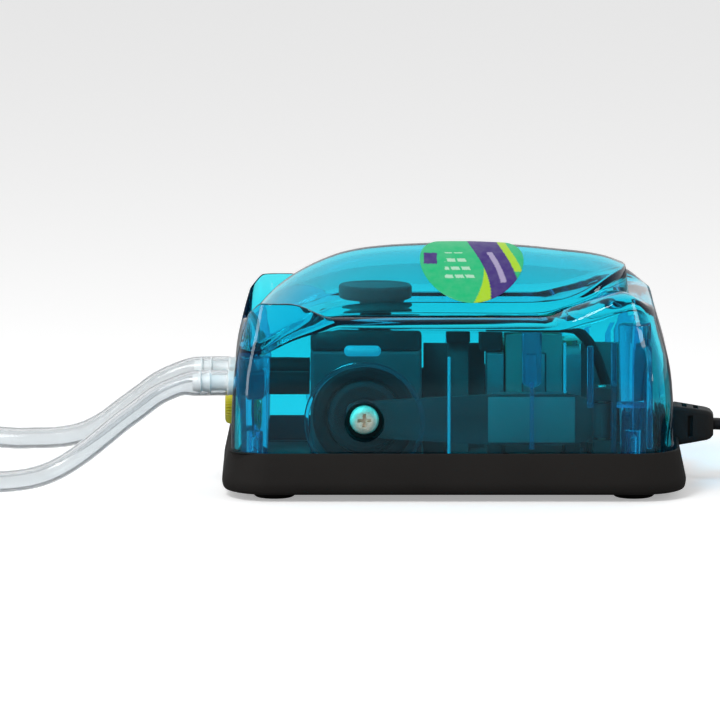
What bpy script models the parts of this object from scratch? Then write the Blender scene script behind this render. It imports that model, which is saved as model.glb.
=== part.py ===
"""Aquarium air pump: a see-through shell in a rubber boot, over a twin-diaphragm magnet-arm pump.

Metres, +Z up. The origin is on the surface the pump stands on, under the middle of its base.
+X points to the mains lead, -X to the two air outlets, and -Y is the front.
"""
from math import cos, hypot, pi, radians, sin

import bmesh
import bpy
from mathutils import Matrix, Vector

MM = 0.001
GAP = 0.3 * MM

# Rubber boot and feet
FOOT_HEIGHT = 2.0 * MM
FOOT_AT = (50.0 * MM, 26.0 * MM)
BOOT_HALF = (65.0 * MM, 38.0 * MM)
BOOT_HEIGHT = 11.5 * MM
BOOT_DRAFT = 1.5 * MM
BOOT_FLOOR = 2.4 * MM

# Shell
SHELL_LEFT = -62.1 * MM
SHELL_RIGHT = 61.4 * MM
SHELL_HALF_WIDTH = 34.5 * MM
SHELL_BOTTOM = 4.8 * MM
SHELL_WALL = 2.0 * MM
CORNER_LEFT = 8.0 * MM
CORNER_RIGHT = 12.0 * MM
SHOULDER_Z = 51.0 * MM
END_TOP_Z = 57.7 * MM
END_FALL = 3.5 * MM
FIN_RISE = 4.0 * MM
LEFT_LEAN = 0.8
# The shoulder rolls over from the wall: how high, and how much is climbed by each share of the way in.
ROLL_HEIGHT = 3.0 * MM
SHOULDER_ROLL = ((0.07, 0.47), (0.20, 0.75), (0.40, 0.94), (0.70, 1.0))

# Diaphragm side
PUMP_AXIS = (-25.0 * MM, 22.0 * MM)
WALL_HOLE_RADIUS = 5.5 * MM
CHAMBER_LOW = (-40.0 * MM, -20.0 * MM, 7.2 * MM)
CHAMBER_HIGH = (-9.0 * MM, 20.0 * MM, 40.0 * MM)

# Outlets and flow knob
OUTLET_Y = 13.0 * MM
OUTLET_Z = 30.0 * MM
KNOB_Z = 21.0 * MM
NOZZLE_TIP_X = -73.0 * MM

# Magnet arms
PIVOT_X = 41.0 * MM
ARM_Y = 27.75 * MM
ARM_THICK = 1.5 * MM

# Mains lead
LEAD_Z = 16.5 * MM
LEAD_WIDTH = 5.6 * MM
HOSE_DIAMETER = 6.0 * MM

# Where the hoses and the lead are wound up
HOSE_COIL_X = -174.0 * MM
HOSE_COIL_RADII = (27.0 * MM, 39.0 * MM)
LEAD_COIL_X = 146.0 * MM
LEAD_COIL_RADII = (22.4 * MM, 39.4 * MM)
LEAD_COIL_HEIGHT = 7.3 * MM
PLUG_AT = (146.0, 31.0, 12.1)
BLADE_PITCH = 12.7

# Routes of the free stretches, chosen by hand, in mm. The front hose; the rear one mirrors it.
HOSE_ROUTE = (
    (-74.8, -13.0, 29.7), (-79.0, -13.0, 28.4), (-83.5, -13.0, 26.1), (-88.0, -13.1, 22.7),
    (-93.0, -13.3, 19.0), (-98.0, -13.6, 14.9), (-103.0, -14.0, 10.9), (-108.0, -14.6, 7.5),
    (-113.0, -15.5, 5.0), (-118.0, -16.8, 3.6), (-123.0, -18.5, 3.1), (-128.5, -20.7, 3.1),
    (-134.0, -23.2, 3.1), (-139.5, -25.9, 3.1),
)
# The rear hose rises near its end, to lie on the front hose's coil; mm.
REAR_HOSE_RISE = 6.3
REAR_RISE_FROM = -95.0
REAR_RISE_OVER = 25.0
LEAD_ROUTE = (
    (74.6, 0.0, 16.4), (77.8, -0.2, 15.9), (81.0, -0.6, 14.4), (85.0, -1.9, 11.8),
    (89.0, -4.1, 8.8), (93.0, -7.2, 6.0), (97.0, -11.0, 4.0), (101.0, -15.2, 3.1),
    (105.0, -19.4, 3.0), (109.0, -23.4, 3.0), (112.0, -26.4, 3.0),
)
INNER_LEAD_DIAMETER = 3.0 * MM
INNER_LEAD_ROUTE = (
    (50.6, 0.0, 16.5), (48.2, -0.4, 16.7), (46.0, -1.6, 18.6), (44.6, -3.4, 22.0), (43.2, -5.4, 27.0),
    (41.4, -7.4, 32.6), (39.4, -9.4, 38.0), (36.8, -11.0, 42.4), (33.2, -11.8, 45.8), (28.6, -12.0, 47.4),
    (22.4, -12.0, 47.6), (17.4, -12.0, 47.9), (13.4, -12.0, 48.2), (9.0, -12.0, 48.2),
)

COLOURS = {
    "blue_shell": ((0.05, 0.55, 0.75), 0.10, 0.0),
    "black_rubber": ((0.020, 0.019, 0.018), 0.75, 0.0),
    "black_plastic": ((0.022, 0.023, 0.025), 0.45, 0.0),
    "grey_plastic": ((0.10, 0.11, 0.12), 0.45, 0.0),
    "yellow_plastic": ((0.75, 0.72, 0.05), 0.35, 0.0),
    "steel": ((0.60, 0.60, 0.58), 0.30, 1.0),
    "core_steel": ((0.30, 0.31, 0.33), 0.50, 1.0),
    "magnet": ((0.12, 0.12, 0.13), 0.40, 0.6),
    "coil_tape": ((0.05, 0.42, 0.12), 0.50, 0.0),
    "bobbin": ((0.70, 0.70, 0.66), 0.50, 0.0),
    "valve_rubber": ((0.55, 0.12, 0.08), 0.70, 0.0),
    "filter_felt": ((0.10, 0.10, 0.10), 0.95, 0.0),
    "label": ((0.20, 0.55, 0.12), 0.35, 0.0),
    "clear_hose": ((0.80, 0.83, 0.85), 0.20, 0.0),
    "white_plastic": ((0.80, 0.81, 0.80), 0.40, 0.0),
    "air_stone": ((0.03, 0.16, 0.50), 0.95, 0.0),
    "brass": ((0.75, 0.58, 0.28), 0.30, 1.0),
}


# ---------------------------------------------------------------- helpers

def clear_scene():
    for obj in list(bpy.data.objects):
        bpy.data.objects.remove(obj)


def material(name):
    found = bpy.data.materials.get(name)
    if found:
        return found
    colour, roughness, metallic = COLOURS[name]
    made = bpy.data.materials.new(name)
    made.use_nodes = True
    shader = made.node_tree.nodes["Principled BSDF"]
    shader.inputs["Base Color"].default_value = (*colour, 1.0)
    shader.inputs["Roughness"].default_value = roughness
    shader.inputs["Metallic"].default_value = metallic
    return made


def finish_mesh(name, bm, finish, smooth=True):
    """An object from a bmesh, with its faces pointing out."""
    bmesh.ops.remove_doubles(bm, verts=bm.verts, dist=0.002 * MM)
    bmesh.ops.recalc_face_normals(bm, faces=bm.faces)
    mesh = bpy.data.meshes.new(name)
    bm.to_mesh(mesh)
    bm.free()
    obj = bpy.data.objects.new(name, mesh)
    bpy.context.scene.collection.objects.link(obj)
    mesh.materials.append(material(finish))
    if smooth:
        mesh.shade_smooth()
        mesh.set_sharp_from_angle(angle=radians(35.0))
    return obj


def mm(*values):
    return tuple(value * MM for value in values)


def add_box(bm, low, high):
    made = bmesh.ops.create_cube(bm, size=1.0)["verts"]
    for vert in made:
        vert.co = Vector([(a + b) / 2 + (b - a) * c for a, b, c in zip(low, high, vert.co)])
    return made


def box(name, low, high, finish, bevel=0.0):
    bm = bmesh.new()
    add_box(bm, low, high)
    obj = finish_mesh(name, bm, finish, smooth=False)
    if bevel:
        add_bevel(obj, bevel)
    return obj


def add_bevel(obj, width, segments=1, angle=30.0):
    bevel = obj.modifiers.new("edges", "BEVEL")
    bevel.width = width
    bevel.segments = segments
    bevel.angle_limit = radians(angle)


AXIS_TURN = {
    "X": Matrix.Rotation(pi / 2, 4, "Y"),
    "Y": Matrix.Rotation(-pi / 2, 4, "X"),
    "Z": Matrix.Identity(4),
}


def turned(name, profile, origin, axis, finish, sides=16):
    """A solid of revolution. profile is (radius, height) in mm, from one end's axis to the other's,
    or a closed loop where no radius is 0. The object's origin is on its axis."""
    bm = bmesh.new()
    rings = []
    for radius, height in profile:
        if radius == 0:
            rings.append([bm.verts.new((0, 0, height * MM))])
            continue
        ring = []
        for i in range(sides):
            turn = 2 * pi * i / sides
            ring.append(bm.verts.new((radius * MM * cos(turn), radius * MM * sin(turn), height * MM)))
        rings.append(ring)
    closed = profile[0][0] != 0
    pairs = list(zip(rings, rings[1:]))
    if closed:
        pairs.append((rings[-1], rings[0]))
    for lower, upper in pairs:
        for i in range(sides):
            j = (i + 1) % sides
            corners = [lower[i % len(lower)], lower[j % len(lower)]]
            corners += [upper[j % len(upper)], upper[i % len(upper)]]
            bm.faces.new(list(dict.fromkeys(corners)))
    obj = finish_mesh(name, bm, finish)
    obj.data.transform(AXIS_TURN[axis])
    obj.location = origin
    return obj


def cutter(obj):
    obj.hide_render = True
    obj.display_type = "WIRE"
    return obj


def cylinder_cutter(name, radius, low, high, origin, axis, sides=16):
    profile = ((0, low), (radius, low), (radius, high), (0, high))
    return cutter(turned(name, profile, origin, axis, "steel", sides))


def boolean(obj, tool, operation="DIFFERENCE"):
    step = obj.modifiers.new(tool.name, "BOOLEAN")
    step.object = tool
    step.operation = operation
    step.solver = "EXACT"
    return step


def smooth_step(value):
    value = min(1.0, max(0.0, value))
    return value * value * (3 - 2 * value)


def through(points, x):
    """The height at x of a smooth curve through (x, height) points that rise in x."""
    if x <= points[0][0]:
        return points[0][1]
    for i in range(len(points) - 1):
        (x0, y0), (x1, y1) = points[i], points[i + 1]
        if x > x1:
            continue
        before = points[i - 1] if i else points[i]
        after = points[i + 2] if i + 2 < len(points) else points[i + 1]
        slope0 = (y1 - before[1]) / (x1 - before[0]) * (x1 - x0)
        slope1 = (after[1] - y0) / (after[0] - x0) * (x1 - x0)
        t = (x - x0) / (x1 - x0)
        return (
            y0 * (2 * t**3 - 3 * t**2 + 1) + y1 * (3 * t**2 - 2 * t**3)
            + slope0 * (t**3 - 2 * t**2 + t) + slope1 * (t**3 - t**2)
        )
    return points[-1][1]


def smooth_route(points, step):
    """Points every step along a smooth curve through a route's own points (Catmull-Rom)."""
    ends = [2 * points[0] - points[1]] + list(points) + [2 * points[-1] - points[-2]]
    fine = []
    for a, b, c, d in zip(ends, ends[1:], ends[2:], ends[3:]):
        for k in range(12):
            t = k / 12
            fine.append(
                0.5 * (2 * b + (c - a) * t + (2 * a - 5 * b + 4 * c - d) * t**2
                       + (3 * b - a - 3 * c + d) * t**3)
            )
    fine.append(points[-1])
    total = sum((q - p).length for p, q in zip(fine, fine[1:]))
    count = max(2, round(total / step))
    chosen, walked, target = [fine[0]], 0.0, total / count
    for p, q in zip(fine, fine[1:]):
        walked += (q - p).length
        if walked >= target * len(chosen) - 1e-9 and len(chosen) < count:
            chosen.append(q)
    return chosen + [fine[-1]]


def tube(name, points, diameter, finish, step=2.0, resolution=2):
    """A free cord's uncoiled stretch, as a round tube."""
    curve = bpy.data.curves.new(name, "CURVE")
    curve.dimensions = "3D"
    curve.bevel_depth = diameter / 2
    curve.bevel_resolution = resolution
    curve.use_fill_caps = True
    path = smooth_route([Vector(mm(*p)) for p in points], diameter * step)
    spline = curve.splines.new("POLY")
    spline.points.add(len(path) - 1)
    for point, place in zip(spline.points, path):
        point.co = (*place, 1.0)
    curve.materials.append(material(finish))
    obj = bpy.data.objects.new(name, curve)
    bpy.context.scene.collection.objects.link(obj)
    return obj


def ring(name, radii, low, high, centre_x, finish):
    """The outer shape of a round coil."""
    inner, outer = radii[0] / MM, radii[1] / MM
    profile = ((inner, low), (inner, high), (outer, high), (outer, low))
    return turned(name, profile, (centre_x, 0, 0), "Z", finish, sides=32)


# ---------------------------------------------------------------- boot, feet, bottom plate

def rounded_outline(left, right, half_width, radius_left, radius_right, arc=4):
    """A rounded rectangle's points, anticlockwise seen from above, starting at the +X side."""
    corners = (
        (right - radius_right, half_width - radius_right, radius_right, 0.0),
        (left + radius_left, half_width - radius_left, radius_left, pi / 2),
        (left + radius_left, radius_left - half_width, radius_left, pi),
        (right - radius_right, radius_right - half_width, radius_right, 3 * pi / 2),
    )
    points = []
    for x, y, radius, start in corners:
        for k in range(arc + 1):
            turn = start + pi / 2 * k / arc
            points.append((x + radius * cos(turn), y + radius * sin(turn)))
    return points


def loft(bm, rings):
    made = [[bm.verts.new(p) for p in points] for points in rings]
    for lower, upper in zip(made, made[1:]):
        for i in range(len(lower)):
            j = (i + 1) % len(lower)
            bm.faces.new((lower[i], lower[j], upper[j], upper[i]))
    return made


def boot_outline(inset, z):
    x, y = BOOT_HALF
    radius = 14.0 * MM
    flat = rounded_outline(inset - x, x - inset, y - inset, radius - inset, radius - inset)
    return [(px, py, z) for px, py in flat]


def rubber_base():
    """The boot that the shell's lower edge stands in, with four feet moulded on."""
    low, top = FOOT_HEIGHT, FOOT_HEIGHT + BOOT_HEIGHT
    bm = bmesh.new()
    cavity = rounded_outline(
        SHELL_LEFT - GAP, SHELL_RIGHT + GAP, SHELL_HALF_WIDTH + GAP, CORNER_LEFT, CORNER_RIGHT
    )
    floor_z = low + BOOT_FLOOR
    outer = [
        boot_outline(3.0 * MM, low),
        boot_outline(1.3 * MM, low + 0.5 * MM),
        boot_outline(0.3 * MM, low + 1.6 * MM),
        boot_outline(0.0, low + 3.2 * MM),
        boot_outline(BOOT_DRAFT - 0.2 * MM, top - 0.8 * MM),
        boot_outline(BOOT_DRAFT + 0.2 * MM, top),
    ]
    inner = [[(x, y, z) for x, y in cavity] for z in (top, floor_z)]
    made = loft(bm, outer + inner)
    bm.faces.new(list(reversed(made[0])))
    bm.faces.new(made[-1])
    boot = finish_mesh("rubber_base", bm, "black_rubber")
    boolean(boot, cylinder_cutter("lead_notch", 5.5, -4, 6, (SHELL_RIGHT, 0, LEAD_Z), "X", 20))
    foot = ((0, 0), (5.4, 0), (6.0, 0.5), (6.0, 3.0), (0, 3.0))
    for sx in (-1, 1):
        for sy in (-1, 1):
            at = (sx * FOOT_AT[0], sy * FOOT_AT[1], 0)
            name = "foot_" + ("left" if sx < 0 else "right") + ("_front" if sy < 0 else "_rear")
            boolean(boot, cutter(turned(name, foot, at, "Z", "black_rubber", 20)), "UNION")
    return boot


CASE_SCREWS = (("front_left", -55.4, -27.8), ("rear_left", -55.4, 27.8),
               ("front_right", 49.8, -26.5), ("rear_right", 49.8, 26.5))


def bottom_plate():
    """The closing plate inside the shell's lower edge, with the lead's seat and the case screws."""
    clear = SHELL_WALL + 0.8 * MM
    outline = rounded_outline(
        SHELL_LEFT + clear, SHELL_RIGHT - clear, SHELL_HALF_WIDTH - clear,
        CORNER_LEFT - clear, CORNER_RIGHT - clear,
    )
    bm = bmesh.new()
    made = loft(bm, [[(x, y, z) for x, y in outline] for z in mm(4.7, 6.9)])
    bm.faces.new(list(reversed(made[0])))
    bm.faces.new(made[-1])
    plate = finish_mesh("bottom_plate", bm, "black_plastic", smooth=False)
    seat = box("lead_seat", mm(52.0, -9.0, 6.0), mm(57.0, 9.0, 13.2), "black_plastic")
    boolean(plate, cutter(seat), "UNION")
    for place, x, y in CASE_SCREWS:
        hole = cylinder_cutter("plate_hole_" + place, 1.9, -5, 5, mm(x, y, 6), "Z", 12)
        boolean(plate, hole)
        case_screw(place, x, y)
    return plate


def case_screw(place, x, y):
    profile = ((0, 4.75), (1.6, 4.75), (1.6, 6.6), (1.1, 7.0), (1.1, 17.0), (0, 18.2))
    turned("case_screw_" + place, profile, mm(x, y, 0), "Z", "steel", 10)


# ---------------------------------------------------------------- shell

# Over the shell's centre line, in mm: how high the panel's crest, and its edge, stand.
CREST = ((-62.1, 41.8), (-59, 45.3), (-55, 49.5), (-52, 52.9), (-48.7, 56.0), (-43, 60.0), (-37, 63.0),
         (-31, 65.2), (-23, 66.7), (-10, 67.6), (5, 67.8), (19, 67.1), (29, 66.1), (37, 65.2),
         (43, 63.9), (48.5, 61.6))
EDGE = ((-62.1, 36.5), (-60, 38.5), (-55, 41.9), (-47, 47.2), (-40, 49.9), (-31, 52.6), (-18, 53.2),
        (25, 53.4), (38, 54.6), (48.5, 58.2))
HALF_WIDTH = ((-62.1, 27.6), (-55, 28.6), (-47, 28.2), (-40, 27.0), (-31, 25.2), (-18, 24.2), (0, 24.0),
              (20, 24.0))
PANEL_RIGHT = 48.5
PANEL_ROUND_FROM = 20.0
PANEL_LEFT = -56.6
INNER_PANEL_LEFT = -54.0
PANEL_TURN_X = 38.0
NOSE_CORNER = 5.0
STEP_WIDTH = 0.7
# Points along each half skin: round the +X end, along the side, round the -X corner, across the nose.
SHELL_COUNTS = (8, 8, 5, 3)


def wall_lean(z):
    """How far an end wall leans in at height z; mm."""
    return through(((10, 0.0), (22, 0.2), (31, 0.7), (37.5, 1.6), (44.6, 3.6), (50.3, 5.2), (56, 6.2)), z)


def panel_half_width(x):
    if x <= PANEL_ROUND_FROM:
        return through(HALF_WIDTH, x)
    share = min(1.0, (x - PANEL_ROUND_FROM) / (PANEL_RIGHT - PANEL_ROUND_FROM))
    return HALF_WIDTH[-1][1] * max(0.0, 1 - share**2.6) ** (1 / 2.2)


def panel_outline(counts):
    """Half the raised panel's outline, from its +X tip round to the middle of its nose; mm."""
    tip, side = [], []
    for k in range(81):
        x = PANEL_RIGHT - (PANEL_RIGHT - PANEL_TURN_X) * (k / 80) ** 2
        tip.append((x, panel_half_width(x)))
    corner_x = PANEL_LEFT + NOSE_CORNER
    for k in range(121):
        x = PANEL_TURN_X + (corner_x - PANEL_TURN_X) * k / 120
        side.append((x, panel_half_width(x)))
    corner_y = side[-1][1] - NOSE_CORNER
    corner = []
    for k in range(25):
        turn = pi / 2 + pi / 2 * k / 24
        corner.append((corner_x + NOSE_CORNER * cos(turn), corner_y + NOSE_CORNER * sin(turn)))
    nose = [(PANEL_LEFT, corner_y), (PANEL_LEFT, 0.0)]
    return joined((tip, side, corner, nose), counts)


def joined(stretches, counts):
    """Evenly spread points along each stretch, so that two outlines match stretch by stretch."""
    points = []
    for stretch, count in zip(stretches, counts):
        points += evenly(stretch, count)[:-1]
    return points + [stretches[-1][-1]]


def evenly(points, count):
    """count + 1 points spread evenly along a line of points."""
    lengths = [0.0]
    for (x0, y0), (x1, y1) in zip(points, points[1:]):
        lengths.append(lengths[-1] + hypot(x1 - x0, y1 - y0))
    spread, at = [], 0
    for k in range(count + 1):
        target = lengths[-1] * k / count
        while at < len(points) - 2 and lengths[at + 1] < target:
            at += 1
        share = (target - lengths[at]) / max(1e-9, lengths[at + 1] - lengths[at])
        (x0, y0), (x1, y1) = points[at], points[at + 1]
        spread.append((x0 + (x1 - x0) * share, y0 + (y1 - y0) * share))
    return spread


def panel_height(x, y):
    crest, edge = through(CREST, x), through(EDGE, x)
    reach = max(1.0, through(HALF_WIDTH, x))
    return crest - (crest - edge) * min(1.2, abs(y) / reach) ** 1.6


def wall_outline(counts, inset):
    """Half the shell's plan, from the middle of +X round to the middle of -X; mm."""
    left, right = SHELL_LEFT / MM + inset, SHELL_RIGHT / MM - inset
    half = SHELL_HALF_WIDTH / MM - inset
    corner_l, corner_r = CORNER_LEFT / MM - inset, CORNER_RIGHT / MM - inset
    end, corner = [(right, 0.0)], []
    for k in range(25):
        turn = pi / 2 * k / 24
        end.append((right - corner_r + corner_r * cos(turn), half - corner_r + corner_r * sin(turn)))
        turn += pi / 2
        corner.append((left + corner_l + corner_l * cos(turn), half - corner_l + corner_l * sin(turn)))
    side = [end[-1], corner[0]]
    nose = [corner[-1], (left, 0.0)]
    return joined((end, side, corner, nose), counts)


def shoulder_height(x, y, nose):
    """How high the shoulder is inside (x, y): level along the sides, high at both ends' corners; mm."""
    height = SHOULDER_Z / MM
    height += (END_TOP_Z - SHOULDER_Z) / MM * smooth_step((x - 30) / 26) - END_FALL / MM * smooth_step((x - 56) / 6)
    height += FIN_RISE / MM * smooth_step((x + 63) / 5) * smooth_step((-34 - x) / 16)
    share = smooth_step((29.5 - abs(y)) / 4.5) * smooth_step((-53.0 - x) / 5.0)
    return height + (nose - height) * share


def rim_height(x, y):
    """The height of the panel's rounded rim at its outline; mm."""
    return panel_height(x, y) - 0.7 - 1.5 * smooth_step((x - 30) / 18)


def leaning(base_x, base_y, z):
    """A point on the wall over (base_x, base_y); the sides lean in half as much as the ends."""
    lean = wall_lean(z)
    x = base_x - lean * smooth_step((base_x - 20) / 35) + LEFT_LEAN * lean * smooth_step((-20 - base_x) / 35)
    return x, base_y * (1 - 0.5 * lean / (SHELL_HALF_WIDTH / MM)), z


def half_rings(counts, wall_steps, panel_steps, inner):
    """The +Y half of the shell's skin, as rings of points from the lower edge to the spine; mm."""
    wall = SHELL_WALL / MM
    outline = panel_outline(counts)
    outside = wall_outline(counts, 0.0)
    plan = wall_outline(counts, wall) if inner else outside
    bottom = SHELL_BOTTOM / MM
    rings = [[] for _ in range(wall_steps + 2 + len(SHOULDER_ROLL) + panel_steps)]
    for k in range(len(outline)):
        px, py = outline[k]
        rim = rim_height(px, py)
        shoulder = shoulder_height(*outside[k], rim - 0.8)
        gutter = min(shoulder - 0.3, rim - 0.8)
        unevenness = smooth_step((shoulder - gutter - 0.3) / 3.0)
        span = hypot(px - outside[k][0], py - outside[k][1]) - 5.0
        roll = min(ROLL_HEIGHT / MM, max(0.4, span * 0.4))
        if inner:
            px = max(px, INNER_PANEL_LEFT)
            shoulder = gutter = gutter - wall
            roll *= 1 - unevenness
        for s in range(wall_steps + 1):
            x, y, z = leaning(*plan[k], bottom + (shoulder - roll - bottom) * s / wall_steps)
            rings[s].append((x, y, z))
        # From the wall's top to the panel: a rolled shoulder, then the gutter at the foot of the step.
        reach = hypot(px - x, py - y)
        towards_x, towards_y = (px - x) / reach, (py - y) / reach
        for n, (share, climbed) in enumerate(SHOULDER_ROLL):
            z = shoulder - roll * (1 - climbed)
            z += (gutter - z) * unevenness * smooth_step((share - 0.26) / 0.44)
            rings[wall_steps + 1 + n].append((x + towards_x * reach * share, y + towards_y * reach * share, z))
        foot = reach - min(STEP_WIDTH, reach * 0.2)
        rings[wall_steps + 1 + len(SHOULDER_ROLL)].append((x + towards_x * foot, y + towards_y * foot, gutter))
        spine_x = min(30.0, max(-44.0, px))
        for s in range(panel_steps):
            inward = (s / (panel_steps - 1)) ** 1.25
            sx, sy = spine_x + (px - spine_x) * (1 - inward), py * (1 - inward)
            z = rim if s == 0 else panel_height(sx, sy)
            rings[wall_steps + 2 + len(SHOULDER_ROLL) + s].append((sx, sy, z - (wall + 0.2 if inner else 0)))
    return rings


def shell_skin(bm, counts, wall_steps, panel_steps, inner):
    """One skin of the shell, its two halves joined along the centre line."""
    rings = []
    for half in half_rings(counts, wall_steps, panel_steps, inner):
        points = [mm(*p) for p in half]
        rings.append(points + [(x, -y, z) for x, y, z in reversed(points[1:-1])])
    made = [[bm.verts.new(p) for p in points] for points in rings]
    for lower, upper in zip(made, made[1:]):
        for i in range(len(lower)):
            j = (i + 1) % len(lower)
            bm.faces.new((lower[i], lower[j], upper[j], upper[i]))
    return made[0]


def shell_mesh(bm, counts, wall_steps, panel_steps):
    outer = shell_skin(bm, counts, wall_steps, panel_steps, False)
    inner = shell_skin(bm, counts, wall_steps, panel_steps, True)
    for i in range(len(outer)):
        j = (i + 1) % len(outer)
        bm.faces.new((outer[j], outer[i], inner[i], inner[j]))


def shell_bosses():
    """The four posts that the case screws bite into, hanging from the shell's shoulder."""
    for place, x, y in CASE_SCREWS:
        top = 49.2 if x > 0 else 40.0
        shape = ((0, 19.0), (1.55, 19.0), (1.55, 7.2), (3.4, 7.2), (4.3, top), (0, top))
        yield cutter(turned("boss_" + place, shape, mm(x, y, 0), "Z", "blue_shell", 14))


def top_shell():
    bm = bmesh.new()
    shell_mesh(bm, SHELL_COUNTS, 4, 6)
    shell = finish_mesh("top_shell", bm, "blue_shell")
    for boss in shell_bosses():
        boolean(shell, boss, "UNION")
    px, pz = PUMP_AXIS
    for name, y in (("front", -SHELL_HALF_WIDTH), ("rear", SHELL_HALF_WIDTH)):
        hole = cylinder_cutter("wall_hole_" + name, WALL_HOLE_RADIUS / MM, -5, 5, (px, y, pz), "Y")
        boolean(shell, hole)
        out = OUTLET_Y if name == "rear" else -OUTLET_Y
        outlet = cylinder_cutter("outlet_hole_" + name, 3.8, -4, 4, (SHELL_LEFT, out, OUTLET_Z), "X", 16)
        boolean(shell, outlet)
    boolean(shell, cylinder_cutter("knob_hole", 4.9, -4, 4, (SHELL_LEFT, 0, KNOB_Z), "X", 20))
    boolean(shell, cylinder_cutter("lead_hole", 4.4, -5, 5, (SHELL_RIGHT, 0, LEAD_Z), "X", 20))
    return shell


def label():
    """A thin round disc that lies on the panel's front slope."""
    centre_x, centre_y, radius, thick = 5.0, -9.6, 14.5, 0.25
    bm = bmesh.new()
    rows = []
    for lift in (0.65, 0.65 + thick):
        rows.append([])
        for r in (1.0, 0.7, 0.4):
            line = []
            for i in range(20):
                turn = 2 * pi * i / 20
                x = centre_x + r * radius * cos(turn)
                y = centre_y + r * radius * 0.95 * sin(turn)
                line.append(bm.verts.new(mm(x, y, panel_height(x, y) + lift)))
            rows[-1].append(line)
        middle = bm.verts.new(mm(centre_x, centre_y, panel_height(centre_x, centre_y) + lift))
        for lower, upper in zip(rows[-1], rows[-1][1:]):
            for i in range(20):
                j = (i + 1) % 20
                bm.faces.new((lower[i], lower[j], upper[j], upper[i]))
        for i in range(20):
            bm.faces.new((rows[-1][-1][i], rows[-1][-1][(i + 1) % 20], middle))
    for i in range(20):
        j = (i + 1) % 20
        bm.faces.new((rows[0][0][i], rows[0][0][j], rows[1][0][j], rows[1][0][i]))
    return finish_mesh("label", bm, "label")


# ---------------------------------------------------------------- air chamber and valves

VALVES = (("intake_valve_front", -31.5, -11.0), ("intake_valve_rear", -31.5, 11.0),
          ("outlet_valve_front", -17.5, -11.0), ("outlet_valve_rear", -17.5, 11.0))


def air_chamber():
    """The valve block: a pumping pocket on each side, and four valve ports on its top."""
    block = box("air_chamber", CHAMBER_LOW, CHAMBER_HIGH, "grey_plastic", 0.8 * MM)
    px, pz = PUMP_AXIS
    for name, side in (("front", -1), ("rear", 1)):
        at = (px, side * CHAMBER_HIGH[1], pz)
        boolean(block, cylinder_cutter("pump_pocket_" + name, 11.0, -5, 5, at, "Y"))
    for name, x, y in VALVES:
        boolean(block, cylinder_cutter("port_" + name, 1.8, -25, 6, mm(x, y, 40), "Z", 12))
        flap = ((0, 40.3), (3.4, 40.3), (3.6, 40.5), (3.4, 41.0), (0.9, 41.3), (0.7, 41.9), (0, 41.9))
        turned(name, flap, mm(x, y, 0), "Z", "valve_rubber", 14)
    return block


def chamber_cover():
    """The tapered cover over the valves, a valve room for each port, and the intake's neck on top."""
    low, high = mm(-40, -20, 40.3), mm(-9, 20, 47.0)
    bm = bmesh.new()
    add_box(bm, low, high)
    for vert in bm.verts:
        if vert.co.z > 45 * MM:
            vert.co.x += (2.4 if vert.co.x < -25 * MM else -0.6) * MM
            vert.co.y *= 0.92
    cover = finish_mesh("chamber_cover", bm, "black_plastic", smooth=False)
    add_bevel(cover, 0.8 * MM)
    neck = ((0, 46.0), (4.5, 46.0), (4.5, 51.7), (0, 51.7))
    boolean(cover, cutter(turned("intake_neck", neck, mm(-22, 0, 0), "Z", "black_plastic")), "UNION")
    for name, x, y in VALVES:
        boolean(cover, cylinder_cutter("room_" + name, 4.6, -2, 2.9, mm(x, y, 40.3), "Z", 16))
    boolean(cover, cylinder_cutter("intake_mouth", 2.6, -6, 3, mm(-22, 0, 51.7), "Z", 16))
    return cover


def intake_filter():
    profile = ((0, 52.0), (9.8, 52.0), (10.3, 52.5), (10.3, 55.4), (9.7, 56.0), (0, 56.0))
    return turned("intake_filter", profile, mm(-22, 0, 0), "Z", "filter_felt", 20)


def diaphragm(place, side):
    """A rubber cup: a flange on the chamber's face, a rolled wall and a hub that the arm moves."""
    profile = [(0, 20.8), (9.0, 20.8), (10.4, 20.3), (14.5, 20.3), (14.5, 22.4), (11.6, 22.6),
               (10.6, 24.2), (8.8, 24.6), (7.2, 23.6), (5.6, 23.4), (0, 23.4)]
    shape = [(r, side * h) for r, h in profile]
    if side < 0:
        shape.reverse()
    px, pz = PUMP_AXIS
    return turned("diaphragm_" + place, shape, (px, 0, pz), "Y", "black_rubber", 20)


def diaphragm_fixings(place, side, parent):
    px, pz = PUMP_AXIS
    washer = [(1.6, 23.7), (5.0, 23.7), (5.0, 26.7), (1.6, 26.7)]
    screw = [(0, 23.8), (1.2, 23.8), (1.2, 28.85), (3.6, 28.85), (4.1, 29.5), (3.4, 30.6), (1.2, 31.0),
             (1.0, 30.2), (0, 30.2)]
    for name, profile in (("hub_washer_", washer), ("hub_screw_", screw)):
        shape = [(r, side * h) for r, h in profile]
        if side < 0:
            shape.reverse()
        piece = turned(name + place, shape, (px, 0, pz), "Y", "steel", 12)
        hang_on(piece, parent)


def hang_on(piece, parent):
    piece.parent = parent
    piece.matrix_parent_inverse = Matrix.Translation(-parent.location)


# ---------------------------------------------------------------- magnet arms

def pivot_empty(place, side):
    empty = bpy.data.objects.new("pivot_" + place, None)
    empty.location = (PIVOT_X, side * ARM_Y, 0)
    bpy.context.scene.collection.objects.link(empty)
    return empty


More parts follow.
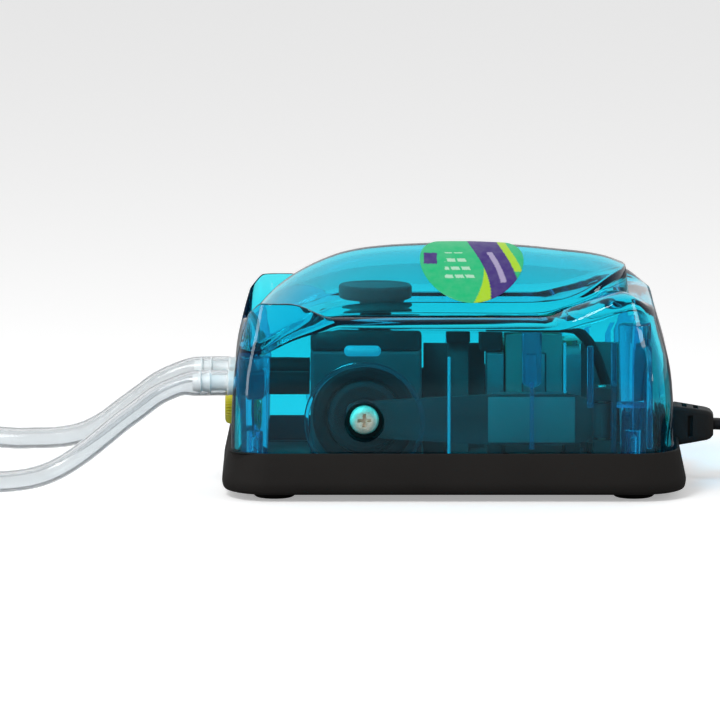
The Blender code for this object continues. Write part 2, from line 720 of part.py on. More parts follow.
def swing_arm(place, side, parent):
    """A flat steel arm from its eye on the pivot pin to the diaphragm's hub."""
    px, pz = PUMP_AXIS
    half = ARM_THICK / 2
    y = side * ARM_Y
    outline = [(px - 5.0 * MM, pz - 4.5 * MM), (px + 8 * MM, pz - 5.5 * MM), (10 * MM, pz - 7 * MM),
               (34 * MM, pz - 7 * MM), (PIVOT_X - 2 * MM, pz - 5 * MM), (PIVOT_X - 2 * MM, pz + 5 * MM),
               (34 * MM, pz + 7 * MM), (10 * MM, pz + 7 * MM), (px + 8 * MM, pz + 5.5 * MM),
               (px - 5.0 * MM, pz + 4.5 * MM)]
    bm = bmesh.new()
    made = loft(bm, [[(x, y + side_y * half, z) for x, z in outline] for side_y in (-1, 1)])
    bm.faces.new(list(reversed(made[0])))
    bm.faces.new(made[-1])
    arm = finish_mesh("swing_arm_" + place, bm, "core_steel", smooth=False)
    eye = ((1.5, 17.0), (1.5, 27.0), (2.7, 27.0), (2.7, 17.0))
    eye_tube = cutter(turned("eye_" + place, eye, (PIVOT_X, y, 0), "Z", "core_steel", 14))
    hole = cylinder_cutter("arm_hole_" + place, 1.6, -3, 3, (px, y, pz), "Y", 12)
    boolean(arm, eye_tube, "UNION")
    boolean(arm, hole)
    hang_on(arm, parent)
    near, far = sorted((side * 26.7, side * 21.7))
    magnet = box("arm_magnet_" + place, mm(10.5, near, 15.8), mm(32.0, far, 28.8), "magnet", 0.4 * MM)
    hang_on(magnet, parent)


def arm_bracket():
    """A plastic bridge across the floor, with a forked post at each end for the pivot pins."""
    bracket = box("arm_bracket", mm(37.8, -31.4, 7.2), mm(44.2, 31.4, 10.4), "black_plastic", 0.5 * MM)
    for place, side in (("front", -1), ("rear", 1)):
        low_y, high_y = sorted((side * 24.0, side * 31.0))
        fork = (
            ("post_", (44.0, low_y - 0.4, 8.0), (45.2, high_y + 0.4, 31.8)),
            ("low_lug_", (38.6, low_y, 9.0), (44.4, high_y, 16.6)),
            ("high_lug_", (38.6, low_y, 27.4), (44.4, high_y, 31.2)),
        )
        for name, low, high in fork:
            boolean(bracket, cutter(box(name + place, mm(*low), mm(*high), "black_plastic")), "UNION")
        at = (PIVOT_X, side * ARM_Y, 0)
        boolean(bracket, cylinder_cutter("pin_hole_" + place, 1.5, 12, 40, at, "Z", 12))
        pin = ((0, 12.4), (1.2, 12.4), (1.2, 31.6), (0, 31.6))
        turned("pivot_pin_" + place, pin, at, "Z", "steel", 12)
    return bracket


# ---------------------------------------------------------------- electromagnet

CORE_X = (9.2, 35.4)
CORE_Z = (17.0, 39.0)
LEG_WIDTH = 4.6
MIDDLE_LEG = (19.3, 25.3)


def laminated_core():
    """Two E-shaped stacks back to back, with their poles facing the two arms."""
    low, high = CORE_X
    left_leg, right_leg = low + LEG_WIDTH, high - LEG_WIDTH
    pole, yoke = 19.4, 3.0
    quarter = [(high, -pole), (high, pole), (right_leg, pole), (right_leg, yoke), (MIDDLE_LEG[1], yoke),
               (MIDDLE_LEG[1], pole), (MIDDLE_LEG[0], pole), (MIDDLE_LEG[0], yoke), (left_leg, yoke),
               (left_leg, pole), (low, pole), (low, -pole), (left_leg, -pole), (left_leg, -yoke),
               (MIDDLE_LEG[0], -yoke), (MIDDLE_LEG[0], -pole), (MIDDLE_LEG[1], -pole),
               (MIDDLE_LEG[1], -yoke), (right_leg, -yoke), (right_leg, -pole)]
    bm = bmesh.new()
    made = loft(bm, [[mm(x, y, z) for x, y in quarter] for z in CORE_Z])
    bm.faces.new(list(reversed(made[0])))
    bm.faces.new(made[-1])
    core = finish_mesh("laminated_core", bm, "core_steel", smooth=False)
    for place, x in (("left", 11.5), ("right", 33.1)):
        boolean(core, cylinder_cutter("core_hole_" + place, 1.9, -40, 60, mm(x, 0, 20), "Z", 12))
        screw = ((0, 9.6), (1.2, 9.6), (1.5, 10.4), (1.5, 39.3), (3.2, 39.3), (3.2, 40.6), (2.2, 41.3),
                 (0, 41.3))
        turned("core_screw_" + place, screw, mm(x, 0, 0), "Z", "steel", 12)
    return core


def coils():
    """On each middle leg, a flanged bobbin with its taped winding."""
    middle = (MIDDLE_LEG[0] + MIDDLE_LEG[1]) / 2
    for place, side in (("front", -1), ("rear", 1)):
        ys = sorted((side * 3.4, side * 18.8))
        bobbin = box("coil_bobbin_" + place, mm(14.4, ys[0], 11.0), mm(30.2, ys[1], 45.0), "bobbin")
        ring_y = sorted((side * 4.6, side * 17.6))
        groove = rectangular_tube("groove_" + place, middle, 28.0, (4.2, 12.2), (9.5, 19.5), ring_y, "bobbin")
        inside = box("leg_room_" + place, mm(19.0, ys[0] - 1, 16.7), mm(25.6, ys[1] + 1, 39.3), "bobbin")
        boolean(bobbin, cutter(groove))
        boolean(bobbin, cutter(inside))
        wound_y = (ring_y[0] + 0.3, ring_y[1] - 0.3)
        wound = ((4.6, 13.0), (8.1, 16.6))
        rectangular_tube("coil_winding_" + place, middle, 28.0, *wound, wound_y, "coil_tape", 0.8)


def rectangular_tube(name, x, z, inner, outer, ys, finish, bevel=0.0):
    """A square-sectioned ring round the Y axis; inner and outer are half sizes in X and Z."""
    bm = bmesh.new()
    rows = []
    for half, y in ((outer, ys[0]), (outer, ys[1]), (inner, ys[1]), (inner, ys[0])):
        corners = ((1, -1), (1, 1), (-1, 1), (-1, -1))
        rows.append([bm.verts.new(mm(x + sx * half[0], y, z + sz * half[1])) for sx, sz in corners])
    for lower, upper in zip(rows, rows[1:] + rows[:1]):
        for i in range(4):
            j = (i + 1) % 4
            bm.faces.new((lower[i], lower[j], upper[j], upper[i]))
    obj = finish_mesh(name, bm, finish, smooth=False)
    if bevel:
        add_bevel(obj, bevel * MM)
    return obj


def cradle():
    """The plastic seat under the core, with the fuse's stand and a stiffening wall along its middle."""
    seat = box("core_cradle", mm(-2.0, -19.0, 7.2), mm(36.9, 19.0, 9.3), "grey_plastic")
    stand = box("fuse_stand", mm(-1.6, -6.0, 8.0), mm(4.2, 6.0, 40.3), "black_plastic")
    boolean(seat, cutter(stand), "UNION")
    for place, low, high in (("left", mm(-8.4, 2.2, 7.2), mm(8.8, 4.0, 39.0)),
                             ("right", mm(35.8, 2.2, 8.0), mm(37.4, 4.0, 39.0)),
                             ("end", mm(37.0, 2.2, 10.8), mm(50.5, 4.0, 39.0))):
        boolean(seat, cutter(box("wall_" + place, low, high, "grey_plastic")), "UNION")
    for place, low, high in (("left", 9.4, 13.6), ("right", 31.0, 35.2)):
        rail = box("rail_" + place, mm(low, -18.6, 8.0), mm(high, 18.6, 16.7), "black_plastic")
        boolean(seat, cutter(rail), "UNION")
    for place, x in (("left", 11.5), ("right", 33.1)):
        boolean(seat, cylinder_cutter("cradle_hole_" + place, 1.8, 9.5, 20, mm(x, 0, 0), "Z", 12))
    return seat


def lead_terminals():
    """The two black blocks beside the coils: the lead's terminal block and the thermal fuse."""
    box("terminal_block", mm(7.0, -17.0, 39.3), mm(13.6, -4.4, 46.4), "black_plastic", 0.4 * MM)
    box("thermal_fuse", mm(-2.0, -9.0, 40.6), mm(4.6, 9.0, 46.6), "black_plastic", 0.4 * MM)


# ---------------------------------------------------------------- outlets and flow knob

def outlet_parts(place, side):
    y = side * OUTLET_Y
    duct = ((2.0, 0.0), (2.0, 13.4), (3.2, 13.4), (3.2, 0.0))
    turned("outlet_duct_" + place, duct, (-53.7 * MM, y, OUTLET_Z), "X", "black_rubber", 12)
    barb = [(1.6, 14.1), (1.6, 0.0), (2.2, 0.0), (2.9, 2.4), (2.2, 2.6), (2.9, 5.0), (2.2, 5.2), (2.2, 9.6),
            (3.4, 9.9), (3.4, 14.1)]
    barb.reverse()
    turned("outlet_nozzle_" + place, barb, (NOZZLE_TIP_X, y, OUTLET_Z), "X", "white_plastic", 12)


def outlet_manifold():
    """The cross piece behind the nozzles, with a lug for the flow knob's spindle."""
    body = box("outlet_manifold", mm(-58.6, -17.4, 26.2), mm(-54.0, 17.4, 33.8), "black_plastic", 0.8 * MM)
    lug = box("knob_lug", mm(-55.4, -3.4, 15.6), mm(-54.0, 3.4, 27.0), "black_plastic")
    boolean(body, cutter(lug), "UNION")
    for place, side in (("front", -1), ("rear", 1)):
        at = (-57 * MM, side * OUTLET_Y, OUTLET_Z)
        boolean(body, cylinder_cutter("duct_hole_" + place, 1.8, -6, 6, at, "X", 12))
    boolean(body, cylinder_cutter("spindle_hole", 1.8, -6, 6, (-56 * MM, 0, KNOB_Z), "X", 12))
    return body


def flow_knob():
    """The knob with its barrel behind the wall and a spindle in the lug; its origin is on its axis."""
    profile = [(0, -1.6), (3.6, -1.6), (4.2, -1.2), (4.5, -0.4), (4.5, 3.4), (3.6, 3.6), (3.6, 4.5),
               (4.5, 4.7), (4.3, 5.0), (3.3, 5.1), (3.3, 6.8), (1.5, 7.0), (1.5, 9.0), (0, 9.0)]
    knob = turned("flow_knob", profile, (-62.5 * MM, 0, KNOB_Z), "X", "yellow_plastic", 16)
    slot = box("knob_slot", mm(-64.6, -0.6, 17.6), mm(-63.3, 0.6, 24.4), "yellow_plastic")
    boolean(knob, cutter(slot))
    return knob


# ---------------------------------------------------------------- mains lead

def strain_relief():
    """The flexible sleeve round the lead, flanged inside the wall."""
    profile = [(0, 51.5), (2.9, 51.5), (2.9, 58.4), (5.6, 58.4), (5.6, 58.9), (4.1, 59.0), (4.1, 61.7),
               (5.0, 62.0), (5.05, 63.2), (4.7, 65.5), (4.6, 67.0), (4.2, 69.4), (3.9, 71.8), (3.2, 73.0),
               (0, 73.0)]
    return turned("strain_relief", profile, (0, 0, LEAD_Z), "X", "black_rubber", 14)


def inner_lead():
    """The lead inside the shell, from the strain relief under the clamp to the terminal block."""
    return tube("inner_lead", INNER_LEAD_ROUTE, INNER_LEAD_DIAMETER, "black_rubber", 1.6)


def lead_clamp():
    """The bar that holds the lead down on the bottom plate's seat."""
    bar = box("lead_clamp", mm(52.0, -9.0, 19.8), mm(57.0, 9.0, 21.8), "black_plastic", 0.4 * MM)
    for place, side in (("front", -1), ("rear", 1)):
        y = side * 6.5
        leg = box("clamp_leg_" + place, mm(52.4, y - 2.2, 13.5), mm(56.6, y + 2.2, 20.4), "black_plastic")
        boolean(bar, cutter(leg), "UNION")
        boolean(bar, cylinder_cutter("clamp_hole_" + place, 1.5, 12, 24, mm(54.5, y, 0), "Z", 10))
        screw = ((0, 13.5), (1.2, 13.5), (1.2, 22.1), (2.2, 22.1), (2.2, 23.2), (0, 23.4))
        turned("clamp_screw_" + place, screw, mm(54.5, y, 0), "Z", "steel", 10)
    return bar


def plug():
    """A flat two-blade plug that lies on the lead's coil, its blades along the turns."""
    x, y, z = PLUG_AT
    low, high = mm(x - 6.0, y - 8.4, z - 4.5), mm(x + 7.0, y + 8.4, z + 4.5)
    body = box("plug_body", low, high, "black_plastic", 1.2 * MM)
    for place, side in (("inner", -1), ("outer", 1)):
        at = y + side * BLADE_PITCH / 2
        low, high = mm(x - 21.1, at - 0.75, z - 3.2), mm(x - 6.3, at + 0.75, z + 3.2)
        box("plug_blade_" + place, low, high, "brass")
    return body


def hoses_and_lead():
    rear = []
    for x, y, z in HOSE_ROUTE:
        rear.append((x, -y, z + REAR_HOSE_RISE * smooth_step((REAR_RISE_FROM - x) / REAR_RISE_OVER)))
    tube("air_hose_front", HOSE_ROUTE, HOSE_DIAMETER, "clear_hose")
    tube("air_hose_rear", rear, HOSE_DIAMETER, "clear_hose")
    ring("hose_coil_front", HOSE_COIL_RADII, 0.3, 6.1, HOSE_COIL_X, "clear_hose")
    ring("hose_coil_rear", HOSE_COIL_RADII, 6.4, 12.2, HOSE_COIL_X, "clear_hose")
    tube("power_lead", LEAD_ROUTE, LEAD_WIDTH, "black_rubber", 1.5)
    ring("power_lead_coil", LEAD_COIL_RADII, 0.3, LEAD_COIL_HEIGHT / MM, LEAD_COIL_X, "black_rubber")
    stone = ((0, -13.0), (6.2, -13.0), (7.0, -12.2), (7.0, 12.2), (6.2, 13.0), (2.2, 13.3), (2.2, 18.0),
             (0, 18.0))
    for place, side in (("front", -1), ("rear", 1)):
        at = (HOSE_COIL_X - 3 * MM, side * 8.4 * MM, 7.3 * MM)
        turned("air_stone_" + place, stone, at, "X", "air_stone", 16)


def build():
    clear_scene()
    rubber_base()
    bottom_plate()
    top_shell()
    label()
    air_chamber()
    chamber_cover()
    intake_filter()
    for place, side in (("front", -1), ("rear", 1)):
        diaphragm(place, side)
        pivot = pivot_empty(place, side)
        swing_arm(place, side, pivot)
        diaphragm_fixings(place, side, pivot)
        outlet_parts(place, side)
    arm_bracket()
    laminated_core()
    coils()
    cradle()
    lead_terminals()
    outlet_manifold()
    flow_knob()
    strain_relief()
    inner_lead()
    lead_clamp()
    plug()
    hoses_and_lead()


build()
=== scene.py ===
"""The looks of the aquarium air pump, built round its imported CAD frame."""

from math import atan2, cos, hypot, log, pi, radians, sin

import bmesh
import bpy
from mathutils import Matrix, Vector, noise as mathutils_noise


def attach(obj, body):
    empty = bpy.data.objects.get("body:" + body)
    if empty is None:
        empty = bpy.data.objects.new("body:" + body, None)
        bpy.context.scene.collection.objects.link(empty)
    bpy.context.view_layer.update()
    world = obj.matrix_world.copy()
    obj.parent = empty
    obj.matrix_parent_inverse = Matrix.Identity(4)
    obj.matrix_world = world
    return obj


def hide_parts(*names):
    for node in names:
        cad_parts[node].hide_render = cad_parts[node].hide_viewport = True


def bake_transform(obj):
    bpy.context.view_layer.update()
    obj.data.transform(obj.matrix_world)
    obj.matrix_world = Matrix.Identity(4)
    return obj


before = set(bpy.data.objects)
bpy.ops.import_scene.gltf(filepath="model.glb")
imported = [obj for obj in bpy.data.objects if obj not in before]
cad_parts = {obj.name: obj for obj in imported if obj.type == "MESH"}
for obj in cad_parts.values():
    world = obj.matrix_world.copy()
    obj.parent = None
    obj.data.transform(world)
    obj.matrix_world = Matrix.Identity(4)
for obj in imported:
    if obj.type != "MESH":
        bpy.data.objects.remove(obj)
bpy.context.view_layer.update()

MM = 0.001
SIDES = (("front", -1), ("rear", 1))

# Places that the CAD settles; mm.
PUMP_X, PUMP_Z, INTAKE_X = -25.0, 22.0, -22.0
OUTLET_Y, OUTLET_Z, KNOB_Z, NOZZLE_TIP_X = 13.0, 30.0, 21.0, -73.0
PIVOT_X, ARM_Y = 41.0, 27.75
LEAD_Z, LEAD_WIDTH = 16.5, 5.6
HOSE_COIL_X, LEAD_COIL_X = -174.0, 146.0
STONE_Y, STONE_Z = 8.4, 7.3
CASE_SCREWS = (("front_left", -55.4, -27.8), ("rear_left", -55.4, 27.8),
               ("front_right", 49.8, -26.5), ("rear_right", 49.8, 26.5))

# Routes of the free stretches, in mm. The front hose; the rear one mirrors it and rises.
HOSE_ROUTE = (
    (-74.8, -13.0, 29.7), (-79.0, -13.0, 28.4), (-83.5, -13.0, 26.1), (-88.0, -13.1, 22.7),
    (-93.0, -13.3, 19.0), (-98.0, -13.6, 14.9), (-103.0, -14.0, 10.9), (-108.0, -14.6, 7.5),
    (-113.0, -15.5, 5.0), (-118.0, -16.8, 3.6), (-123.0, -18.5, 3.1), (-128.5, -20.7, 3.1),
    (-134.0, -23.2, 3.1), (-139.5, -25.9, 3.1),
)
REAR_HOSE_RISE = 6.3
LEAD_ROUTE = (
    (74.6, 0.0, 16.4), (77.8, -0.2, 15.9), (81.0, -0.6, 14.4), (85.0, -1.9, 11.8),
    (89.0, -4.1, 8.8), (93.0, -7.2, 6.0), (97.0, -11.0, 4.0), (101.0, -15.2, 3.1),
    (105.0, -19.4, 3.0), (109.0, -23.4, 3.0), (112.0, -26.4, 3.0),
)
INNER_LEAD_ROUTE = (
    (50.6, 0.0, 16.5), (48.2, -0.4, 16.7), (46.0, -1.6, 18.6), (44.6, -3.4, 22.0), (43.2, -5.4, 27.0),
    (41.4, -7.4, 32.6), (39.4, -9.4, 38.0), (36.8, -11.0, 42.4), (33.2, -11.8, 45.8), (28.6, -12.0, 47.4),
    (22.4, -12.0, 47.6), (17.4, -12.0, 47.9), (13.4, -12.0, 48.2), (9.0, -12.0, 48.2),
)

# Where the camera looks, and how much of the pump's length its square picture holds; metres.
VIEW_CENTRE = Vector((-0.0262, 0.0, 0.0345))
VIEW_WIDTH = 0.2022
VIEW_ELEVATION = 8.4
VIEW_DISTANCE = 2.6


def mm(*values):
    return tuple(value * MM for value in values)


def smooth_step(value):
    value = min(1.0, max(0.0, value))
    return value * value * (3 - 2 * value)


# ---------------------------------------------------------------- materials

def new_material(name):
    made = bpy.data.materials.new(name)
    made.use_nodes = True
    tree = made.node_tree
    tree.nodes.clear()
    return made, tree


def node(tree, kind, **values):
    """A shader node; values name its properties, or its inputs where the name is an input's."""
    made = tree.nodes.new(kind)
    for name, value in values.items():
        if hasattr(made, name):
            setattr(made, name, value)
        else:
            made.inputs[name.replace("_", " ")].default_value = value
    return made


def link(tree, source, target):
    tree.links.new(source, target)


def rgba(colour):
    return (*colour, 1.0)


def noise(tree, scale, detail=4.0):
    """Object-space noise; scale is in bumps per metre."""
    made = node(tree, "ShaderNodeTexNoise", Scale=scale, Detail=detail, Roughness=0.55)
    link(tree, node(tree, "ShaderNodeTexCoord").outputs["Object"], made.inputs["Vector"])
    return made.outputs["Fac"]


def remap(tree, source, low, high, start=0.3, end=0.7):
    made = node(tree, "ShaderNodeMapRange")
    for name, value in (("From Min", start), ("From Max", end), ("To Min", low), ("To Max", high)):
        made.inputs[name].default_value = value
    link(tree, source, made.inputs["Value"])
    return made.outputs["Result"]


def mixed_colour(tree, share, a, b):
    made = node(tree, "ShaderNodeMix", data_type="RGBA")
    for socket, value in ((made.inputs[0], share), (made.inputs[6], a), (made.inputs[7], b)):
        if isinstance(value, (tuple, float)):
            socket.default_value = value
        else:
            link(tree, value, socket)
    return made.outputs[2]


def bump(tree, height, distance, normal=None):
    made = node(tree, "ShaderNodeBump", Strength=1.0, Distance=distance)
    link(tree, height, made.inputs["Height"])
    if normal:
        link(tree, normal, made.inputs["Normal"])
    return made.outputs["Normal"]


def moulded(name, colour, roughness, metallic=0.0, second=None, mottle=90.0, grain=1400.0, depth=0.03,
            wear=0.0, worn=(0.2, 0.2, 0.2), coat=0.0, lines=None, sheen=0.0, specular=0.5):
    """A solid finish: two close colours mottled together, a fine grain, and paler worn edges.
    lines cuts grooves across an axis: (axis, spacing, depth) in mm; depth is the grain's, in mm."""
    made, tree = new_material(name)
    shader = node(tree, "ShaderNodeBsdfPrincipled", Metallic=metallic)
    shader.inputs["Specular IOR Level"].default_value = specular
    if coat:
        shader.inputs["Coat Weight"].default_value = coat
        shader.inputs["Coat Roughness"].default_value = 0.12
    if sheen:
        shader.inputs["Sheen Weight"].default_value = sheen
    second = second or tuple(part * 1.35 + 0.002 for part in colour)
    patches = noise(tree, mottle)
    body = mixed_colour(tree, remap(tree, patches, 0.0, 1.0), rgba(colour), rgba(second))
    if wear:
        edge = node(tree, "ShaderNodeNewGeometry").outputs["Pointiness"]
        share = remap(tree, edge, 0.0, wear, 0.52, 0.60)
        body = mixed_colour(tree, share, body, rgba(worn))
    link(tree, body, shader.inputs["Base Color"])
    link(tree, remap(tree, patches, roughness * 0.88, min(1.0, roughness * 1.15)), shader.inputs["Roughness"])
    normal = bump(tree, noise(tree, grain, 3.0), depth * MM)
    if lines:
        axis, spacing, deep = lines
        wave = node(tree, "ShaderNodeTexWave", bands_direction=axis, wave_profile="SAW")
        wave.inputs["Scale"].default_value = pi / 10 / (spacing * MM)
        place = node(tree, "ShaderNodeTexCoord")
        link(tree, place.outputs["Object"], wave.inputs["Vector"])
        normal = bump(tree, wave.outputs["Fac"], deep * MM, normal=normal)
    link(tree, normal, shader.inputs["Normal"])
    output = node(tree, "ShaderNodeOutputMaterial")
    link(tree, shader.outputs["BSDF"], output.inputs["Surface"])
    return made


def clear_plastic(name, wall, body, haze, roughness=0.02, index=1.45, ripple=0.0, depth_tint=None):
    """Clear plastic that bends light. wall is what one wall's two faces let through, body what it scatters,
    and depth_tint what 10 mm of its inside let through, which darkens it along its edges."""
    made, tree = new_material(name)
    patches = noise(tree, 60.0, 2.0)
    clear = node(tree, "ShaderNodeBsdfPrincipled", IOR=index)
    clear.inputs["Transmission Weight"].default_value = 1.0
    duller = tuple(part * 0.9 for part in wall)
    link(tree, mixed_colour(tree, remap(tree, patches, 0.0, 0.12), rgba(wall), rgba(duller)),
         clear.inputs["Base Color"])
    link(tree, remap(tree, noise(tree, 300.0), roughness * 0.7, roughness * 1.6), clear.inputs["Roughness"])
    if ripple:
        link(tree, bump(tree, noise(tree, 45.0, 1.0), ripple * MM), clear.inputs["Normal"])
    scattered = node(tree, "ShaderNodeBsdfPrincipled", Roughness=0.5)
    link(tree, mixed_colour(tree, patches, rgba(body), rgba(tuple(c * 0.85 for c in body))),
         scattered.inputs["Base Color"])
    inside = node(tree, "ShaderNodeMixShader", Fac=haze)
    link(tree, clear.outputs["BSDF"], inside.inputs[1])
    link(tree, scattered.outputs["BSDF"], inside.inputs[2])
    # Light reaches what is inside as if straight through, tinted by half a wall at each surface.
    passing = node(tree, "ShaderNodeBsdfTransparent")
    passing.inputs["Color"].default_value = rgba(tuple(c ** 0.5 for c in wall))
    surface = node(tree, "ShaderNodeMixShader")
    link(tree, node(tree, "ShaderNodeLightPath").outputs["Is Shadow Ray"], surface.inputs[0])
    link(tree, inside.outputs["Shader"], surface.inputs[1])
    link(tree, passing.outputs["BSDF"], surface.inputs[2])
    output = node(tree, "ShaderNodeOutputMaterial")
    link(tree, surface.outputs["Shader"], output.inputs["Surface"])
    if depth_tint:
        density = -log(min(depth_tint)) / (10 * MM)
        kept = tuple(1 - -log(c) / (10 * MM) / density for c in depth_tint)
        absorbed = node(tree, "ShaderNodeVolumeAbsorption", Density=density, Color=rgba(kept))
        link(tree, absorbed.outputs["Volume"], output.inputs["Volume"])
    return made


SHELL_WALL_TINT = (0.13, 0.86, 0.95)
SHELL_DEPTH_TINT = (0.02, 0.72, 0.90)
RUBBER = dict(specular=0.2, grain=2200)

LOOKS = {
    "blue_shell": lambda n: clear_plastic(n, SHELL_WALL_TINT, (0.01, 0.25, 0.45), 0.012, 0.02, ripple=0.04,
                                          depth_tint=SHELL_DEPTH_TINT),
    "shell_rib": lambda n: clear_plastic(n, (0.05, 0.66, 0.88), (0.01, 0.32, 0.55), 0.10, 0.04),
    # A lighter, hazier copy of the rib plastic: a painted highlight for the lugs and the thin ribs.
    "shell_edge": lambda n: clear_plastic(n, (0.15, 0.82, 0.92), (0.04, 0.80, 0.95), 0.45, 0.05),
    "boot_rubber": lambda n: moulded(n, (0.0125, 0.011, 0.0100), 0.70, mottle=40, depth=0.05, wear=0.25,
                                     worn=(0.03, 0.028, 0.026), **RUBBER),
    "black_plastic": lambda n: moulded(n, (0.008, 0.009, 0.010), 0.42, grain=1800, wear=0.3, specular=0.3,
                                       worn=(0.05, 0.05, 0.05)),
    "grey_plastic": lambda n: moulded(n, (0.060, 0.062, 0.066), 0.50, grain=1600, wear=0.3,
                                      worn=(0.14, 0.14, 0.14), specular=0.3),
    "filter_felt": lambda n: moulded(n, (0.022, 0.023, 0.025), 0.95, grain=2600, depth=0.25, sheen=0.3),
    "steel_fixings": lambda n: moulded(n, (0.74, 0.68, 0.58), 0.28, 1.0, mottle=500, grain=2500, depth=0.01),
    "nickel": lambda n: moulded(n, (0.80, 0.66, 0.54), 0.36, 0.25, mottle=500, grain=2500, depth=0.01),
    "relief_rubber": lambda n: moulded(n, (0.016, 0.0145, 0.0135), 0.62, depth=0.04, wear=0.25,
                                       worn=(0.04, 0.038, 0.035), **RUBBER),
    "pump_rubber": lambda n: moulded(n, (0.004, 0.004, 0.0045), 0.5, depth=0.03, **RUBBER),
    "membrane": lambda n: moulded(n, (0.014, 0.015, 0.016), 0.5, depth=0.03, **RUBBER),
    "core_steel": lambda n: moulded(n, (0.30, 0.31, 0.33), 0.42, 0.8, lines=("Z", 0.7, 0.12), wear=0.3,
                                    worn=(0.5, 0.5, 0.5)),
    "arm_steel": lambda n: moulded(n, (0.022, 0.023, 0.025), 0.50, 0.2, mottle=200, grain=1500, wear=0.4,
                                   worn=(0.10, 0.10, 0.105)),
    "arm_pad": lambda n: moulded(n, (0.12, 0.125, 0.13), 0.5, grain=1500, wear=0.3),
    "magnet": lambda n: moulded(n, (0.09, 0.09, 0.095), 0.42, 0.3, mottle=300, wear=0.4),
    "bobbin": lambda n: moulded(n, (0.15, 0.15, 0.135), 0.45, wear=0.2, worn=(0.3, 0.3, 0.28)),
    "coil_tape": lambda n: moulded(n, (0.015, 0.30, 0.07), 0.34, coat=0.4, lines=("Y", 3.0, 0.05)),
    "yellow_plastic": lambda n: moulded(n, (0.78, 0.68, 0.02), 0.34, coat=0.2, second=(0.70, 0.60, 0.02),
                                        wear=0.3, worn=(0.85, 0.80, 0.30)),
    "white_plastic": lambda n: moulded(n, (0.74, 0.75, 0.74), 0.36, second=(0.78, 0.79, 0.78), grain=1500,
                                       depth=0.01),
    "valve_rubber": lambda n: moulded(n, (0.30, 0.05, 0.03), 0.6, depth=0.02),
    "lead_sheath": lambda n: moulded(n, (0.008, 0.008, 0.009), 0.50, depth=0.04, wear=0.2,
                                     worn=(0.03, 0.03, 0.03), **RUBBER),
    "blade_brass": lambda n: moulded(n, (0.72, 0.55, 0.27), 0.28, 1.0, mottle=300, grain=2000, depth=0.01),
    "stone": lambda n: moulded(n, (0.02, 0.10, 0.42), 0.95, second=(0.05, 0.22, 0.62), mottle=900, grain=1300,
                               depth=0.5),
    "clear_hose": lambda n: clear_plastic(n, (0.90, 0.92, 0.93), (0.75, 0.78, 0.80), 0.15, 0.06, 1.40, 0.03),
}
made_looks = {}


def look(name):
    if name not in made_looks:
        made_looks[name] = LOOKS[name](name)
    return made_looks[name]


# ---------------------------------------------------------------- mesh helpers

def piece(name, bm, finish, smooth_angle=40.0):
    """A visible object from a bmesh; finish is one of LOOKS or a material."""
    bmesh.ops.remove_doubles(bm, verts=bm.verts, dist=0.002 * MM)
    bmesh.ops.recalc_face_normals(bm, faces=bm.faces)
    mesh = bpy.data.meshes.new(name)
    bm.to_mesh(mesh)
    bm.free()
    mesh.materials.append(look(finish) if isinstance(finish, str) else finish)
    mesh.shade_smooth()
    mesh.set_sharp_from_angle(angle=radians(smooth_angle))
    obj = bpy.data.objects.new(name, mesh)
    bpy.context.scene.collection.objects.link(obj)
    return obj


def place(obj, body="pump", stands_for=(), slot=None):
    """Rides a finished piece on its body and hides the CAD parts that it stands for. slot is not used."""
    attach(obj, body)
    if stands_for:
        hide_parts(*stands_for)
    return obj


def apply_modifiers(obj):
    graph = bpy.context.evaluated_depsgraph_get()
    mesh = bpy.data.meshes.new_from_object(obj.evaluated_get(graph), depsgraph=graph)
    obj.modifiers.clear()
    obj.data = mesh
    return obj


def cut(obj, tools, smooth_angle=40.0):
    """Cuts closed tools out of obj, and removes them."""
    for tool in tools:
        step = obj.modifiers.new("cut", "BOOLEAN")
        step.object = tool
        step.operation = "DIFFERENCE"
        step.solver = "EXACT"
        apply_modifiers(obj)
        bpy.data.objects.remove(tool)
    obj.data.shade_smooth()
    obj.data.set_sharp_from_angle(angle=radians(smooth_angle))
    return obj


# Turns a solid of revolution's own Z onto an axis.
AXIS_TURN = {
    "X": Matrix.Rotation(pi / 2, 4, "Y"),
    "Y": Matrix.Rotation(-pi / 2, 4, "X"),
    "Z": Matrix.Identity(4),
}


# Where a point (a, b) of an outline lies, once it is set across an axis at a level.
ACROSS = {
    "X": lambda a, b, level: (level, a, b),
    "Y": lambda a, b, level: (a, level, b),
    "Z": lambda a, b, level: (a, b, level),
}


def bridge(bm, lower, upper):
    """Faces between two rings of vertices; either ring may be a single point."""
    sides = max(len(lower), len(upper))
    for i in range(sides):
        j = (i + 1) % sides
        corners = (lower[i % len(lower)], lower[j % len(lower)], upper[j % len(upper)], upper[i % len(upper)])
        corners = list(dict.fromkeys(corners))
        if len(corners) > 2:
            bm.faces.new(corners)


def rounded(profile, radius, steps=3):
    """A profile with each of its inner corners rounded off."""
    points = [profile[0]]
    for before, at, after in zip(profile, profile[1:], profile[2:]):
        a, b = Vector(before) - Vector(at), Vector(after) - Vector(at)
        reach = min(radius, a.length * 0.45, b.length * 0.45)
        start = Vector(at) + a.normalized() * reach
        end = Vector(at) + b.normalized() * reach
        for k in range(steps + 1):
            t = k / steps
            points.append(tuple(start * (1 - t) ** 2 + Vector(at) * 2 * t * (1 - t) + end * t**2))
    return points + [profile[-1]]


def turned_mesh(bm, profile, sides, closed):
    rings = []
    for radius, height in profile:
        count = 1 if abs(radius) < 1e-6 else sides
        rings.append([
            bm.verts.new(mm(radius * cos(2 * pi * i / sides), radius * sin(2 * pi * i / sides), height))
            for i in range(count)
        ])
    for lower, upper in zip(rings, rings[1:]):
        bridge(bm, lower, upper)
    if closed:
        bridge(bm, rings[-1], rings[0])


